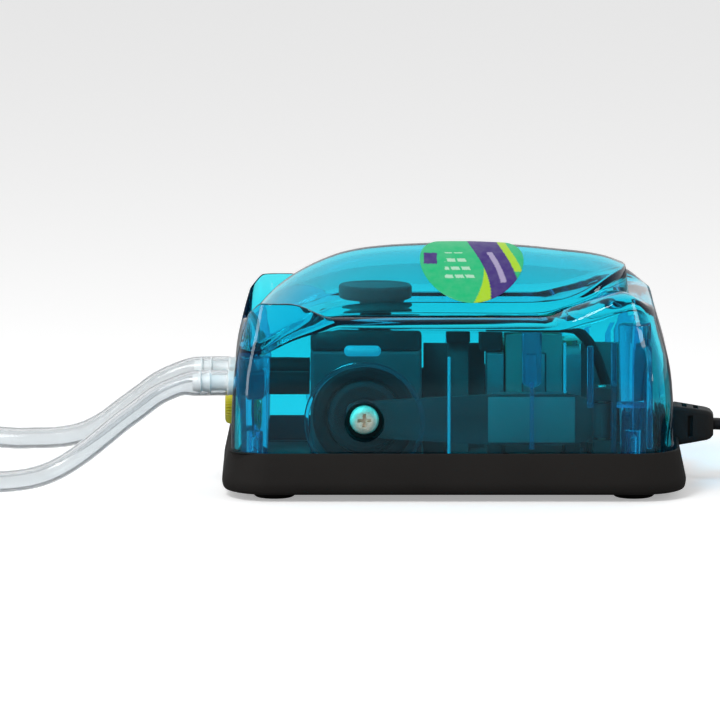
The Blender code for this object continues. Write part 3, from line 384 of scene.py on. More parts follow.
def turned(name, profile, at, axis, finish, sides=64, fillet=0.3, closed=False, bands=0, band_depth=0.0):
    """A solid of revolution from a (radius, height) profile in mm. bands knurls its rim."""
    bm = bmesh.new()
    shape = rounded(list(profile) + ([profile[0]] if closed else []), fillet) if fillet else list(profile)
    if closed and fillet:
        shape = shape[:-1]
    turned_mesh(bm, shape, sides, closed)
    if bands:
        widest = max(radius for radius, _ in profile) * MM
        for vert in bm.verts:
            reach = hypot(vert.co.x, vert.co.y)
            if reach > widest * 0.9:
                turn = atan2(vert.co.y, vert.co.x)
                keep = 1 - band_depth * MM / reach * (0.5 - 0.5 * cos(bands * turn))
                vert.co.x *= keep
                vert.co.y *= keep
    bm.transform(Matrix.Translation(Vector(mm(*at))) @ AXIS_TURN[axis])
    return piece(name, bm, finish)


def soften(bm, edges, radius):
    """Rounds edges off, by less where they lie close together."""
    bmesh.ops.bevel(bm, geom=edges, offset=radius * MM, segments=2, affect="EDGES", profile=0.5,
                    clamp_overlap=True)


def rounded_box(name, low, high, radius, finish, segments=3):
    bm = bmesh.new()
    for vert in bmesh.ops.create_cube(bm, size=1.0)["verts"]:
        vert.co = Vector([(a + b) / 2 + (b - a) * c for a, b, c in zip(mm(*low), mm(*high), vert.co)])
    bmesh.ops.bevel(bm, geom=list(bm.edges), offset=radius * MM, segments=segments, affect="EDGES",
                    profile=0.5)
    return piece(name, bm, finish)


def tool_box(low, high):
    return rounded_box("tool", low, high, 0.05, "black_plastic", 1)


def tool_cylinder(radius, low, high, at, axis, sides=48):
    profile = ((0, low), (radius, low), (radius, high), (0, high))
    return turned("tool", profile, at, axis, "black_plastic", sides, fillet=0)


def plate(name, outline, low, high, axis, finish, bevel=0.25):
    """A flat plate: its outline across an axis, and how far it reaches along it; mm."""
    bm = bmesh.new()
    rings = [[bm.verts.new(mm(*ACROSS[axis](a, b, level))) for a, b in outline] for level in (low, high)]
    bridge(bm, *rings)
    caps = (bm.faces.new(rings[0]), bm.faces.new(rings[1]))
    rims = list({edge for cap in caps for edge in cap.edges})
    soften(bm, rims, bevel)
    return piece(name, bm, finish)


def round_corners(points, radius, steps=5):
    """A closed outline with its corners rounded."""
    around = [points[-1], *points, points[0]]
    shape = []
    for before, at, after in zip(around, around[1:], around[2:]):
        shape += rounded((before, at, after), radius, steps)[1:-1]
    return shape


def arc(x, y, radius, start, sweep, steps):
    """Points along an arc about (x, y), both its ends included; start and sweep in radians."""
    angles = [start + sweep * k / steps for k in range(steps + 1)]
    return [(x + radius * cos(angle), y + radius * sin(angle)) for angle in angles]


def rounded_outline(left, right, low, high, radius_left, radius_right, steps=6):
    """A rounded rectangle's points, anticlockwise; always as many, so that two can be joined."""
    corners = (
        (right - radius_right, high - radius_right, radius_right, 0.0),
        (left + radius_left, high - radius_left, radius_left, pi / 2),
        (left + radius_left, low + radius_left, radius_left, pi),
        (right - radius_right, low + radius_right, radius_right, 3 * pi / 2),
    )
    return [point for corner in corners for point in arc(*corner, pi / 2, steps)]


def centred_outline(centre, half_a, half_b, radius):
    a, b = centre
    return rounded_outline(a - half_a, a + half_a, b - half_b, b + half_b, radius, radius)


def lofted(name, axis, rings, finish, closed=False, smooth_angle=40.0):
    """Joins (outline, level) rings along an axis; closed joins the last to the first, else both get a cap."""
    bm = bmesh.new()
    made = [[bm.verts.new(mm(*ACROSS[axis](a, b, level))) for a, b in outline] for outline, level in rings]
    for lower, upper in zip(made, made[1:]):
        bridge(bm, lower, upper)
    if closed:
        bridge(bm, made[-1], made[0])
    else:
        bm.faces.new(made[0])
        bm.faces.new(made[-1])
    return piece(name, bm, finish, smooth_angle)


def softened(cad_name, bevel, finish):
    """A copy of a boxy CAD node with its hard edges rounded off."""
    bm = bmesh.new()
    bm.from_mesh(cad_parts[cad_name].data)
    bmesh.ops.remove_doubles(bm, verts=bm.verts, dist=0.005 * MM)
    bmesh.ops.dissolve_limit(bm, angle_limit=radians(2), verts=bm.verts, edges=bm.edges)
    hard = [edge for edge in bm.edges if len(edge.link_faces) == 2 and edge.calc_face_angle() > radians(32)]
    soften(bm, hard, bevel)
    return piece("soft_" + cad_name, bm, finish)


def smooth_route(points, step):
    """Points every step along a smooth curve through a route's own points (Catmull-Rom)."""
    ends = [2 * points[0] - points[1]] + list(points) + [2 * points[-1] - points[-2]]
    fine = []
    for a, b, c, d in zip(ends, ends[1:], ends[2:], ends[3:]):
        for k in range(12):
            t = k / 12
            fine.append(0.5 * (2 * b + (c - a) * t + (2 * a - 5 * b + 4 * c - d) * t**2
                               + (3 * b - a - 3 * c + d) * t**3))
    fine.append(points[-1])
    total = sum((q - p).length for p, q in zip(fine, fine[1:]))
    count = max(2, round(total / step))
    chosen, walked = [fine[0]], 0.0
    for p, q in zip(fine, fine[1:]):
        walked += (q - p).length
        if walked >= total / count * len(chosen) - 1e-9 and len(chosen) < count:
            chosen.append(q)
    return chosen + [fine[-1]]


def swept(name, line, section_at, finish, hollow_at=None):
    """A tube along a line. section_at gives its outline at a point's index, and hollow_at its bore's."""
    bm = bmesh.new()
    outer, inner = [], []
    for i, at in enumerate(line):
        ahead = (line[min(i + 1, len(line) - 1)] - line[max(i - 1, 0)]).normalized()
        across = ahead.cross(Vector((0, 0, 1))).normalized()
        up = across.cross(ahead)
        outer.append([bm.verts.new(at + across * a * MM + up * b * MM) for a, b in section_at(i)])
        if hollow_at:
            inner.append([bm.verts.new(at + across * a * MM + up * b * MM) for a, b in hollow_at(i)])
    for skin in (outer, inner):
        for near, far in zip(skin, skin[1:]):
            bridge(bm, near, far)
    for end in (0, -1):
        if hollow_at:
            bridge(bm, outer[end], inner[end])
        else:
            bm.faces.new(outer[end])
    return piece(name, bm, finish)


def circle(radius, sides=20):
    return [(radius * cos(2 * pi * i / sides), radius * sin(2 * pi * i / sides)) for i in range(sides)]


def mirrored(profile, side):
    return [(radius, side * height) for radius, height in profile]


def levels(side, near, far):
    """Two distances from the middle, on one side of the pump, as its lower and upper Y."""
    return sorted((side * near, side * far))


def sections(centre, rows, start=0.0, side=1):
    """Rings for lofted from (half width, half height, corner, level) rows."""
    return [(centred_outline(centre, half_a, half_b, corner), start + side * level)
            for half_a, half_b, corner, level in rows]


def cross_slots(axis, centre, half_long, half_wide, low, high):
    """The two tools that cut a screw's cross."""
    a, b = centre
    return [tool_box(ACROSS[axis](a - p, b - q, low), ACROSS[axis](a + p, b + q, high))
            for p, q in ((half_long, half_wide), (half_wide, half_long))]


# ---------------------------------------------------------------- camera, floor and light

def camera():
    data = bpy.data.cameras.new("camera")
    data.sensor_width = 36.0
    data.lens = 36.0 * VIEW_DISTANCE / VIEW_WIDTH
    data.clip_end = 20.0
    obj = bpy.data.objects.new("camera", data)
    bpy.context.scene.collection.objects.link(obj)
    tilt = radians(VIEW_ELEVATION)
    obj.location = VIEW_CENTRE + Vector((0, -cos(tilt), sin(tilt))) * VIEW_DISTANCE
    obj.rotation_euler = (pi / 2 - tilt, 0, 0)
    bpy.context.scene.camera = obj


def area_light(name, at, aim, size, power):
    data = bpy.data.lights.new(name, "AREA")
    data.shape = "RECTANGLE"
    data.size, data.size_y = size
    data.energy = power
    obj = bpy.data.objects.new(name, data)
    obj.location = at
    obj.rotation_euler = (Vector(aim) - Vector(at)).to_track_quat("-Z", "Y").to_euler()
    bpy.context.scene.collection.objects.link(obj)


def seen_straight(tree):
    """1 for what the camera sees, directly or through clear plastic; 0 for reflections and bounced light."""
    path = node(tree, "ShaderNodeLightPath")
    either = node(tree, "ShaderNodeMath", operation="MAXIMUM")
    link(tree, path.outputs["Is Camera Ray"], either.inputs[0])
    link(tree, path.outputs["Is Transmission Ray"], either.inputs[1])
    bounces = node(tree, "ShaderNodeMath", operation="ADD")
    link(tree, path.outputs["Diffuse Depth"], bounces.inputs[0])
    link(tree, path.outputs["Glossy Depth"], bounces.inputs[1])
    unbounced = node(tree, "ShaderNodeMath", operation="LESS_THAN")
    link(tree, bounces.outputs["Value"], unbounced.inputs[0])
    unbounced.inputs[1].default_value = 0.5
    both = node(tree, "ShaderNodeMath", operation="MULTIPLY")
    link(tree, either.outputs["Value"], both.inputs[0])
    link(tree, unbounced.outputs["Value"], both.inputs[1])
    return both.outputs["Value"]


# How bright the room round the pump is, in front of it and behind it.
ROOM_FRONT, ROOM_BACK = 0.16, 0.95


def studio():
    """A white sweep behind the pump, a darker room in front of it, and three soft lamps."""
    world = bpy.data.worlds.new("studio")
    bpy.context.scene.world = world
    world.use_nodes = True
    tree = world.node_tree
    direction = node(tree, "ShaderNodeSeparateXYZ")
    link(tree, node(tree, "ShaderNodeTexCoord").outputs["Generated"], direction.inputs["Vector"])
    room = remap(tree, direction.outputs["Y"], ROOM_FRONT, ROOM_BACK, -0.2, 0.7)
    strength = node(tree, "ShaderNodeMix", data_type="FLOAT")
    link(tree, seen_straight(tree), strength.inputs[0])
    link(tree, room, strength.inputs[2])
    strength.inputs[3].default_value = 1.0
    background = tree.nodes["Background"]
    background.inputs["Color"].default_value = (1.0, 1.0, 1.0, 1.0)
    link(tree, strength.outputs[0], background.inputs["Strength"])
    area_light("key", (-0.35, -0.60, 0.75), (0, 0, 0.03), (0.35, 0.35), 4.5)
    area_light("left", (-0.60, -0.35, 0.20), (-0.03, 0, 0.03), (0.14, 0.50), 1.2)
    area_light("right", (0.60, -0.30, 0.25), (0.03, 0, 0.04), (0.14, 0.40), 1.0)
    bm = bmesh.new()
    bmesh.ops.create_grid(bm, x_segments=1, y_segments=1, size=3.0)
    piece("floor", bm, floor_finish())
    bpy.context.scene.view_settings.view_transform = "Standard"


def floor_finish():
    """White paper, shown evenly lit; it bounces less light than it shows."""
    made = moulded("floor", (0.30, 0.30, 0.30), 0.8, mottle=8, second=(0.32, 0.32, 0.32), grain=600,
                   depth=0.02, specular=0.1)
    tree = made.node_tree
    paper = node(tree, "ShaderNodeBsdfDiffuse", Color=(0.93, 0.93, 0.93, 1.0))
    glow = node(tree, "ShaderNodeEmission", Color=(1, 1, 1, 1), Strength=0.35)
    lit = node(tree, "ShaderNodeAddShader")
    link(tree, paper.outputs["BSDF"], lit.inputs[0])
    link(tree, glow.outputs["Emission"], lit.inputs[1])
    shown = node(tree, "ShaderNodeMixShader")
    link(tree, seen_straight(tree), shown.inputs[0])
    link(tree, tree.nodes["Principled BSDF"].outputs["BSDF"], shown.inputs[1])
    link(tree, lit.outputs["Shader"], shown.inputs[2])
    link(tree, shown.outputs["Shader"], tree.nodes["Material Output"].inputs["Surface"])
    return made


# ---------------------------------------------------------------- shell

# Along the shell's length, in mm: how high the panel's crest and its edge stand, and half its width.
CREST = ((-62.1, 41.8), (-59, 45.3), (-55, 49.5), (-52, 52.9), (-48.7, 56.0), (-43, 60.0), (-37, 63.0),
         (-31, 65.2), (-23, 66.7), (-10, 67.6), (5, 67.8), (19, 67.1), (29, 66.1), (37, 65.2),
         (43, 63.9), (48.5, 61.6))
EDGE = ((-62.1, 36.5), (-60, 38.5), (-55, 41.9), (-47, 47.2), (-40, 49.9), (-31, 52.6), (-18, 53.2),
        (25, 53.4), (38, 54.6), (48.5, 58.2))
HALF_WIDTH = ((-62.1, 27.6), (-55, 28.6), (-47, 28.2), (-40, 27.0), (-31, 25.2), (-18, 24.2), (0, 24.0),
              (20, 24.0))
SHELL_LEFT, SHELL_RIGHT, SHELL_HALF_WIDTH, SHELL_BOTTOM = -62.1, 61.4, 34.5, 4.8
SHELL_WALL = 2.0
CORNER_LEFT, CORNER_RIGHT = 8.0, 12.0
# The shoulder's height along the sides and at the right end, its fall at that end's corners, and its
# rise into the fins at the left end's corners.
SHOULDER_Z, END_TOP_Z, END_FALL, FIN_RISE = 51.0, 57.7, 3.5, 4.0
LEFT_LEAN = 0.8
# The shoulder rolls over from the wall: how high, and how much is climbed by each share of the way in.
ROLL_HEIGHT = 3.0
SHOULDER_ROLL = ((0.04, 0.36), (0.10, 0.55), (0.18, 0.72), (0.28, 0.85), (0.40, 0.94), (0.54, 0.99),
                 (0.70, 1.0))
PANEL_RIGHT, PANEL_ROUND_FROM, PANEL_TURN_X = 48.5, 20.0, 38.0
PANEL_LEFT, INNER_PANEL_LEFT, NOSE_CORNER = -56.6, -54.0, 5.0
STEP_WIDTH = 0.7
# Points along each stretch of the shell's half outline, up its wall and in over its panel; and how
# finely the stretches are followed before those points are spread along them.
SHELL_COUNTS = (26, 44, 14, 10)
WALL_STEPS, PANEL_STEPS = 14, 26
TIP_STEPS, SIDE_STEPS, CORNER_STEPS = 160, 240, 48


def through(points, x):
    """The height at x of a smooth curve through (x, height) points that rise in x."""
    if x <= points[0][0]:
        return points[0][1]
    for i in range(len(points) - 1):
        (x0, y0), (x1, y1) = points[i], points[i + 1]
        if x > x1:
            continue
        before = points[i - 1] if i else points[i]
        after = points[i + 2] if i + 2 < len(points) else points[i + 1]
        slope0 = (y1 - before[1]) / (x1 - before[0]) * (x1 - x0)
        slope1 = (after[1] - y0) / (after[0] - x0) * (x1 - x0)
        t = (x - x0) / (x1 - x0)
        return (
            y0 * (2 * t**3 - 3 * t**2 + 1) + y1 * (3 * t**2 - 2 * t**3)
            + slope0 * (t**3 - 2 * t**2 + t) + slope1 * (t**3 - t**2)
        )
    return points[-1][1]


def wall_lean(z):
    """How far the wall has leaned in at a height; mm."""
    return through(((10, 0.0), (22, 0.2), (31, 0.7), (37.5, 1.6), (44.6, 3.6), (50.3, 5.2), (56, 6.2)), z)


def panel_half_width(x):
    if x <= PANEL_ROUND_FROM:
        return through(HALF_WIDTH, x)
    share = min(1.0, (x - PANEL_ROUND_FROM) / (PANEL_RIGHT - PANEL_ROUND_FROM))
    return HALF_WIDTH[-1][1] * max(0.0, 1 - share**2.6) ** (1 / 2.2)


def evenly(points, count):
    """count + 1 points spread evenly along a line of points."""
    lengths = [0.0]
    for (x0, y0), (x1, y1) in zip(points, points[1:]):
        lengths.append(lengths[-1] + hypot(x1 - x0, y1 - y0))
    spread, at = [], 0
    for k in range(count + 1):
        target = lengths[-1] * k / count
        while at < len(points) - 2 and lengths[at + 1] < target:
            at += 1
        share = (target - lengths[at]) / max(1e-9, lengths[at + 1] - lengths[at])
        (x0, y0), (x1, y1) = points[at], points[at + 1]
        spread.append((x0 + (x1 - x0) * share, y0 + (y1 - y0) * share))
    return spread


def joined(stretches):
    """Stretches that follow on from each other as one line, each spread into its share of SHELL_COUNTS."""
    points = []
    for stretch, count in zip(stretches, SHELL_COUNTS):
        points += evenly(stretch, count)[:-1]
    return points + [stretches[-1][-1]]


def panel_outline():
    """Half the panel's outline, from its right tip round to the middle of its nose; mm."""
    tip, side = [], []
    for k in range(TIP_STEPS + 1):
        x = PANEL_RIGHT - (PANEL_RIGHT - PANEL_TURN_X) * (k / TIP_STEPS) ** 2
        tip.append((x, panel_half_width(x)))
    corner_x = PANEL_LEFT + NOSE_CORNER
    for k in range(SIDE_STEPS + 1):
        x = PANEL_TURN_X + (corner_x - PANEL_TURN_X) * k / SIDE_STEPS
        side.append((x, panel_half_width(x)))
    corner_y = side[-1][1] - NOSE_CORNER
    corner = arc(corner_x, corner_y, NOSE_CORNER, pi / 2, pi / 2, CORNER_STEPS)
    nose = [(PANEL_LEFT, corner_y), (PANEL_LEFT, 0.0)]
    return joined((tip, side, corner, nose))


def wall_outline(inset):
    """Half the wall's outline at its foot, from the middle of the right end round to the left's; mm."""
    left, right = SHELL_LEFT + inset, SHELL_RIGHT - inset
    half = SHELL_HALF_WIDTH - inset
    radius_l, radius_r = CORNER_LEFT - inset, CORNER_RIGHT - inset
    end = [(right, 0.0), *arc(right - radius_r, half - radius_r, radius_r, 0.0, pi / 2, CORNER_STEPS)]
    corner = arc(left + radius_l, half - radius_l, radius_l, pi / 2, pi / 2, CORNER_STEPS)
    side = [end[-1], corner[0]]
    nose = [corner[-1], (left, 0.0)]
    return joined((end, side, corner, nose))


def panel_height(x, y):
    crest, edge = through(CREST, x), through(EDGE, x)
    reach = max(1.0, through(HALF_WIDTH, x))
    return crest - (crest - edge) * min(1.2, abs(y) / reach) ** 1.6


def rim_height(x, y):
    return panel_height(x, y) - 0.7 - 1.5 * smooth_step((x - 30) / 18)


def shoulder_height(x, y, nose):
    """How high the shoulder is inside (x, y): level along the sides, high at both ends' corners."""
    height = SHOULDER_Z
    height += (END_TOP_Z - SHOULDER_Z) * smooth_step((x - 30) / 26) - END_FALL * smooth_step((x - 56) / 6)
    height += FIN_RISE * smooth_step((x + 63) / 5) * smooth_step((-34 - x) / 16)
    share = smooth_step((29.5 - abs(y)) / 4.5) * smooth_step((-53.0 - x) / 5.0)
    return height + (nose - height) * share


def leaning(base_x, base_y, z):
    """Where the wall that stands at (base_x, base_y) is at a height."""
    lean = wall_lean(z)
    x = base_x - lean * smooth_step((base_x - 20) / 35) + LEFT_LEAN * lean * smooth_step((-20 - base_x) / 35)
    return x, base_y * (1 - 0.5 * lean / SHELL_HALF_WIDTH), z


def half_rings(inner):
    """The +Y half of the shell's skin, as rings of points from the lower edge to the spine; mm."""
    outline, outside = panel_outline(), wall_outline(0.0)
    plan = wall_outline(SHELL_WALL) if inner else outside
    columns = []
    for k in range(len(outline)):
        column = []
        px, py = outline[k]
        rim = rim_height(px, py)
        shoulder = shoulder_height(*outside[k], rim - 0.8)
        gutter = min(shoulder - 0.3, rim - 0.8)
        unevenness = smooth_step((shoulder - gutter - 0.3) / 3.0)
        span = hypot(px - outside[k][0], py - outside[k][1]) - 5.0
        roll = min(ROLL_HEIGHT, max(0.4, span * 0.4))
        if inner:
            px = max(px, INNER_PANEL_LEFT)
            shoulder = gutter = gutter - SHELL_WALL
            roll *= 1 - unevenness
        for s in range(WALL_STEPS + 1):
            column.append(leaning(*plan[k], SHELL_BOTTOM + (shoulder - roll - SHELL_BOTTOM) * s / WALL_STEPS))
        x, y, _ = column[-1]
        reach = hypot(px - x, py - y)
        towards_x, towards_y = (px - x) / reach, (py - y) / reach
        for share, climbed in SHOULDER_ROLL:
            z = shoulder - roll * (1 - climbed)
            z += (gutter - z) * unevenness * smooth_step((share - 0.26) / 0.44)
            column.append((x + towards_x * reach * share, y + towards_y * reach * share, z))
        foot = reach - min(STEP_WIDTH, reach * 0.2)
        column.append((x + towards_x * foot, y + towards_y * foot, gutter))
        spine_x = min(30.0, max(-44.0, px))
        for s in range(PANEL_STEPS):
            inward = (s / (PANEL_STEPS - 1)) ** 1.5
            sx, sy = spine_x + (px - spine_x) * (1 - inward), py * (1 - inward)
            near_rim = max(0.0, 1 - s / 3) ** 2
            z = panel_height(sx, sy) + (rim - panel_height(px, py)) * near_rim
            column.append((sx, sy, z - (SHELL_WALL + 0.2 if inner else 0)))
        columns.append(column)
    return list(zip(*columns))


def shell_skin(bm, inner):
    rings = []
    for half in half_rings(inner):
        points = [mm(*p) for p in half]
        rings.append(points + [(x, -y, z) for x, y, z in reversed(points[1:-1])])
    made = [[bm.verts.new(p) for p in points] for points in rings]
    for lower, upper in zip(made, made[1:]):
        bridge(bm, lower, upper)
    return made[0]


def clear_shell():
    """The see-through shell: two skins 2 mm apart, with its holes cut."""
    bm = bmesh.new()
    outer, inner = shell_skin(bm, False), shell_skin(bm, True)
    bridge(bm, inner, outer)
    shell = piece("clear_shell", bm, "blue_shell", 32.0)
    holes = [
        tool_cylinder(4.9, -4, 4, (SHELL_LEFT, 0, KNOB_Z), "X"),
        tool_cylinder(4.4, -5, 5, (SHELL_RIGHT, 0, LEAD_Z), "X"),
    ]
    for _, side in SIDES:
        holes.append(tool_cylinder(5.5, -5, 5, (PUMP_X, side * SHELL_HALF_WIDTH, PUMP_Z), "Y"))
        holes.append(tool_cylinder(3.8, -4, 4, (SHELL_LEFT, side * OUTLET_Y, OUTLET_Z), "X"))
    cut(shell, holes, smooth_angle=32.0)
    place(shell, stands_for=("top_shell",))


def shell_mouldings():
    """The clear posts, ribs and rings moulded inside the shell."""
    for place_name, x, y in CASE_SCREWS:
        top = 48.6 if x > 0 else 39.6
        shape = ((0, 19.0), (1.55, 19.0), (1.55, 7.2), (3.4, 7.2), (4.3, top), (0, top))
        place(turned("shell_post_" + place_name, shape, (x, y, 0), "Z", "shell_rib"))
    for name, side in SIDES:
        ring = mirrored(((15.6, 31.0), (16.6, 30.8), (16.8, 33.2), (15.4, 33.2)), side)
        place(turned("shell_ring_" + name, ring, (PUMP_X, 0, PUMP_Z), "Y", "blue_shell", 96, closed=True))
        # Above each diaphragm a clear lug in the lighter rib plastic: a painted highlight.
        low, high = (-30.6, side * 31.6 - 1.4, 40.2), (-20.4, side * 31.6 + 1.4, 43.2)
        place(rounded_box("shell_highlight_lug_" + name, low, high, 1.35, "shell_edge", 6))
        post = ((0, 32.0), (1.4, 31.4), (2.6, 32.4), (2.8, 46.6), (0, 46.6))
        place(turned("shell_middle_post_" + name, post, (21.5, side * 29.4, 0), "Z", "shell_rib"))
        pin = ((0, 14.0), (0.9, 14.2), (0.6, 16.0), (0.6, 33.0), (0, 33.0))
        place(turned("shell_pin_" + name, pin, (21.5, side * 31.1, 0), "Z", "shell_rib", 24))
        for rib, (left, right, low, high) in enumerate(SHELL_RIBS):
            near, far = levels(side, 30.6, 33.4 if high < 40 else 32.6)
            # Thin ribs take the lighter copy of the rib plastic: painted highlights along them.
            finish = "shell_edge" if right - left < 1.0 else "shell_rib"
            place(rounded_box(f"shell_rib_{name}_{rib}", (left, near, low), (right, far, high), 0.3, finish))


# Ribs inside each long wall of the shell: from and to in X, then in Z; mm.
SHELL_RIBS = (
    (-1.9, -1.1, 8.0, 40.0), (36.8, 38.6, 26.0, 43.0), (43.4, 45.0, 13.6, 44.0), (53.2, 54.8, 14.4, 43.0),
    (45.0, 53.2, 26.0, 27.6), (30.2, 31.0, 30.0, 44.0),
)


# ---------------------------------------------------------------- label and boot

def label_colour(x, z):
    """The label's print at a point: green, a purple band with lime beside it, a tag and plain lines."""
    green, lime = (0.006, 0.58, 0.22), (0.46, 0.78, 0.01)
    purple, pale = (0.050, 0.016, 0.22), (0.50, 0.85, 0.62)
    band = 10.2 - 0.043 * (z - 56.0) ** 2
    if band <= x < band + 8.0:
        on_line = abs((x - band - 4.0) % 8.0 - 4.0) > 3.2 and 59.0 < z < 66.0
        return (0.45, 0.38, 0.62) if on_line else purple
    if band - max(0.0, 62.5 - z) * 0.55 <= x < band:
        return lime
    if band + 8.0 <= x < band + 10.2 and z > 61.5:
        return lime
    if -8.4 < x < -4.7 and 63.4 < z < 65.9:
        return purple
    line = (z - 58.2) % 1.9 < 0.75 and -2.5 < x < band - 3.4 and 59.0 < z < 66.0
    return pale if line and (x * 1.7 + z) % 5.0 > 1.1 else green


def label_disc():
    """A thin round sticker on the panel's front slope, printed by its colour attribute."""
    centre_x, centre_y, radius, rings, sides = 5.0, -9.6, 14.5, 72, 240
    bm = bmesh.new()
    tint = bm.loops.layers.float_color.new("print")
    skins = []
    for lift in (0.15, 0.35):
        centre = bm.verts.new(mm(centre_x, centre_y, panel_height(centre_x, centre_y) + lift))
        skin = [[centre]]
        for k in range(1, rings + 1):
            reach = radius * k / rings
            drop = 0.1 if k == rings and lift > 0.3 else 0.0
            ring = []
            for i in range(sides):
                turn = 2 * pi * i / sides
                x, y = centre_x + reach * cos(turn), centre_y + reach * 0.95 * sin(turn)
                ring.append(bm.verts.new(mm(x, y, panel_height(x, y) + lift - drop)))
            skin.append(ring)
        for lower, upper in zip(skin, skin[1:]):
            bridge(bm, lower, upper)
        skins.append(skin[-1])
    bridge(bm, *skins)
    for face in bm.faces:
        for loop in face.loops:
            x, _, z = loop.vert.co / MM
            loop[tint] = rgba(label_colour(x, z))
    place(piece("label_disc", bm, label_finish()), stands_for=("label",))


def label_finish():
    made = moulded("label_print", (0.5, 0.5, 0.5), 0.45, grain=1500, depth=0.01, coat=0.1, specular=0.3)
    tree = made.node_tree
    print_colour = node(tree, "ShaderNodeVertexColor", layer_name="print")
    faded = mixed_colour(tree, remap(tree, noise(tree, 400.0), 0.0, 0.08), print_colour.outputs["Color"],
                         (0.6, 0.7, 0.6, 1.0))
    link(tree, faded, tree.nodes["Principled BSDF"].inputs["Base Color"])
    return made


BOOT_HALF = (64.8, 38.0)
BOOT_CORNER = 14.0
FOOT_AT = (50.0, 26.0)


def boot():
    """The rubber boot: a drafted wall with soft edges round the shell's foot, and four feet."""
    half_x, half_y = BOOT_HALF
    profile = rounded([(5.0, 2.0), (0.6, 2.0), (0.0, 4.6), (1.9, 13.5), (2.6, 13.5)], 1.6, 6)
    rings = []
    for inset, z in profile:
        rings.append((rounded_outline(inset - half_x, half_x - inset, inset - half_y, half_y - inset,
                                      BOOT_CORNER - inset, BOOT_CORNER - inset, 12), z))
    for z in (13.2, 12.8, 4.4):
        grow = 0.3 if z > 13.0 else 0.0
        rings.append((rounded_outline(SHELL_LEFT - 0.3 - grow, SHELL_RIGHT + 0.3 + grow, -34.8 - grow,
                                      34.8 + grow, CORNER_LEFT, CORNER_RIGHT, 12), z))
    made = lofted("boot", "Z", rings, "boot_rubber")
    cut(made, [tool_cylinder(5.6, -3.5, 6, (SHELL_RIGHT, 0, LEAD_Z), "X")])
    place(made, stands_for=("rubber_base",))
    foot = ((0, 0), (5.2, 0), (6.0, 0.8), (6.3, 2.6), (0, 2.6))
    for sx in (-1, 1):
        for name, side in SIDES:
            end = "left" if sx < 0 else "right"
            place(turned(f"boot_foot_{name}_{end}", foot, (sx * FOOT_AT[0], side * FOOT_AT[1], 0), "Z",
                         "boot_rubber", 40, 0.5))


def case_screws():
    """Countersunk cross-head screws up through the bottom plate."""
    profile = ((0, 4.75), (1.6, 4.75), (1.6, 6.6), (1.1, 7.0), (1.1, 17.0), (0, 18.2))
    for name, x, y in CASE_SCREWS:
        made = turned("case_screw_fine_" + name, profile, (x, y, 0), "Z", "steel_fixings", 32, 0.15)
        place(cut(made, cross_slots("Z", (x, y), 1.1, 0.2, 4.2, 5.4)), stands_for=("case_screw_" + name,))


# ---------------------------------------------------------------- air chamber, valves and diaphragms

VALVES = (("intake_valve_front", -31.5, -11.0), ("intake_valve_rear", -31.5, 11.0),
          ("outlet_valve_front", -17.5, -11.0), ("outlet_valve_rear", -17.5, 11.0))


def air_chamber():
    block = rounded_box("chamber_block", (-40, -20, 7.2), (-9, 20, 40), 1.2, "grey_plastic", 4)
    tools = []
    for _, side in SIDES:
        tools.append(tool_cylinder(11.0, -5, 5, (PUMP_X, side * 20, PUMP_Z), "Y", 64))
    for _, x, y in VALVES:
        tools.append(tool_cylinder(1.8, -25, 6, (x, y, 40), "Z", 32))
    place(cut(block, tools), stands_for=("air_chamber",))
    for name, x, y in VALVES:
        flap = ((0, 40.3), (3.4, 40.3), (3.6, 40.5), (3.4, 41.0), (0.9, 41.3), (0.7, 41.9), (0, 41.9))
        place(turned("fine_" + name, flap, (x, y, 0), "Z", "valve_rubber", 40, 0.15), name + "_flap", (name,))


def chamber_cover():
    """The cover over the valves, with sloping ends and the intake's mouth in its top."""
    rings = []
    for z, left, right, half in ((40.3, -40, -9, 20.0), (43.5, -40, -9, 20.0), (46.4, -38.0, -9.4, 18.6),
                                 (46.8, -37.4, -9.7, 18.2), (47.0, -36.6, -10.4, 17.4)):
        rings.append((rounded_outline(left, right, -half, half, 2.0, 2.0), z))
    cover = lofted("cover_block", "Z", rings, "black_plastic", smooth_angle=30)
    rooms = [tool_cylinder(4.6, -2, 2.9, (x, y, 40.3), "Z", 40) for _, x, y in VALVES]
    place(cut(cover, rooms), stands_for=("chamber_cover",))
    neck = ((2.6, 46.0), (5.4, 46.0), (5.4, 46.9), (4.5, 47.6), (4.5, 51.7), (2.6, 51.7))
    place(turned("intake_neck", neck, (INTAKE_X, 0, 0), "Z", "black_plastic", 64, 0.4, closed=True))
    felt = ((0, 52.0), (9.8, 52.0), (10.3, 52.5), (10.3, 55.4), (9.7, 56.0), (7.4, 55.6), (0, 55.6))
    place(turned("intake_felt", felt, (INTAKE_X, 0, 0), "Z", "filter_felt", 72, 0.5),
          stands_for=("intake_filter",))


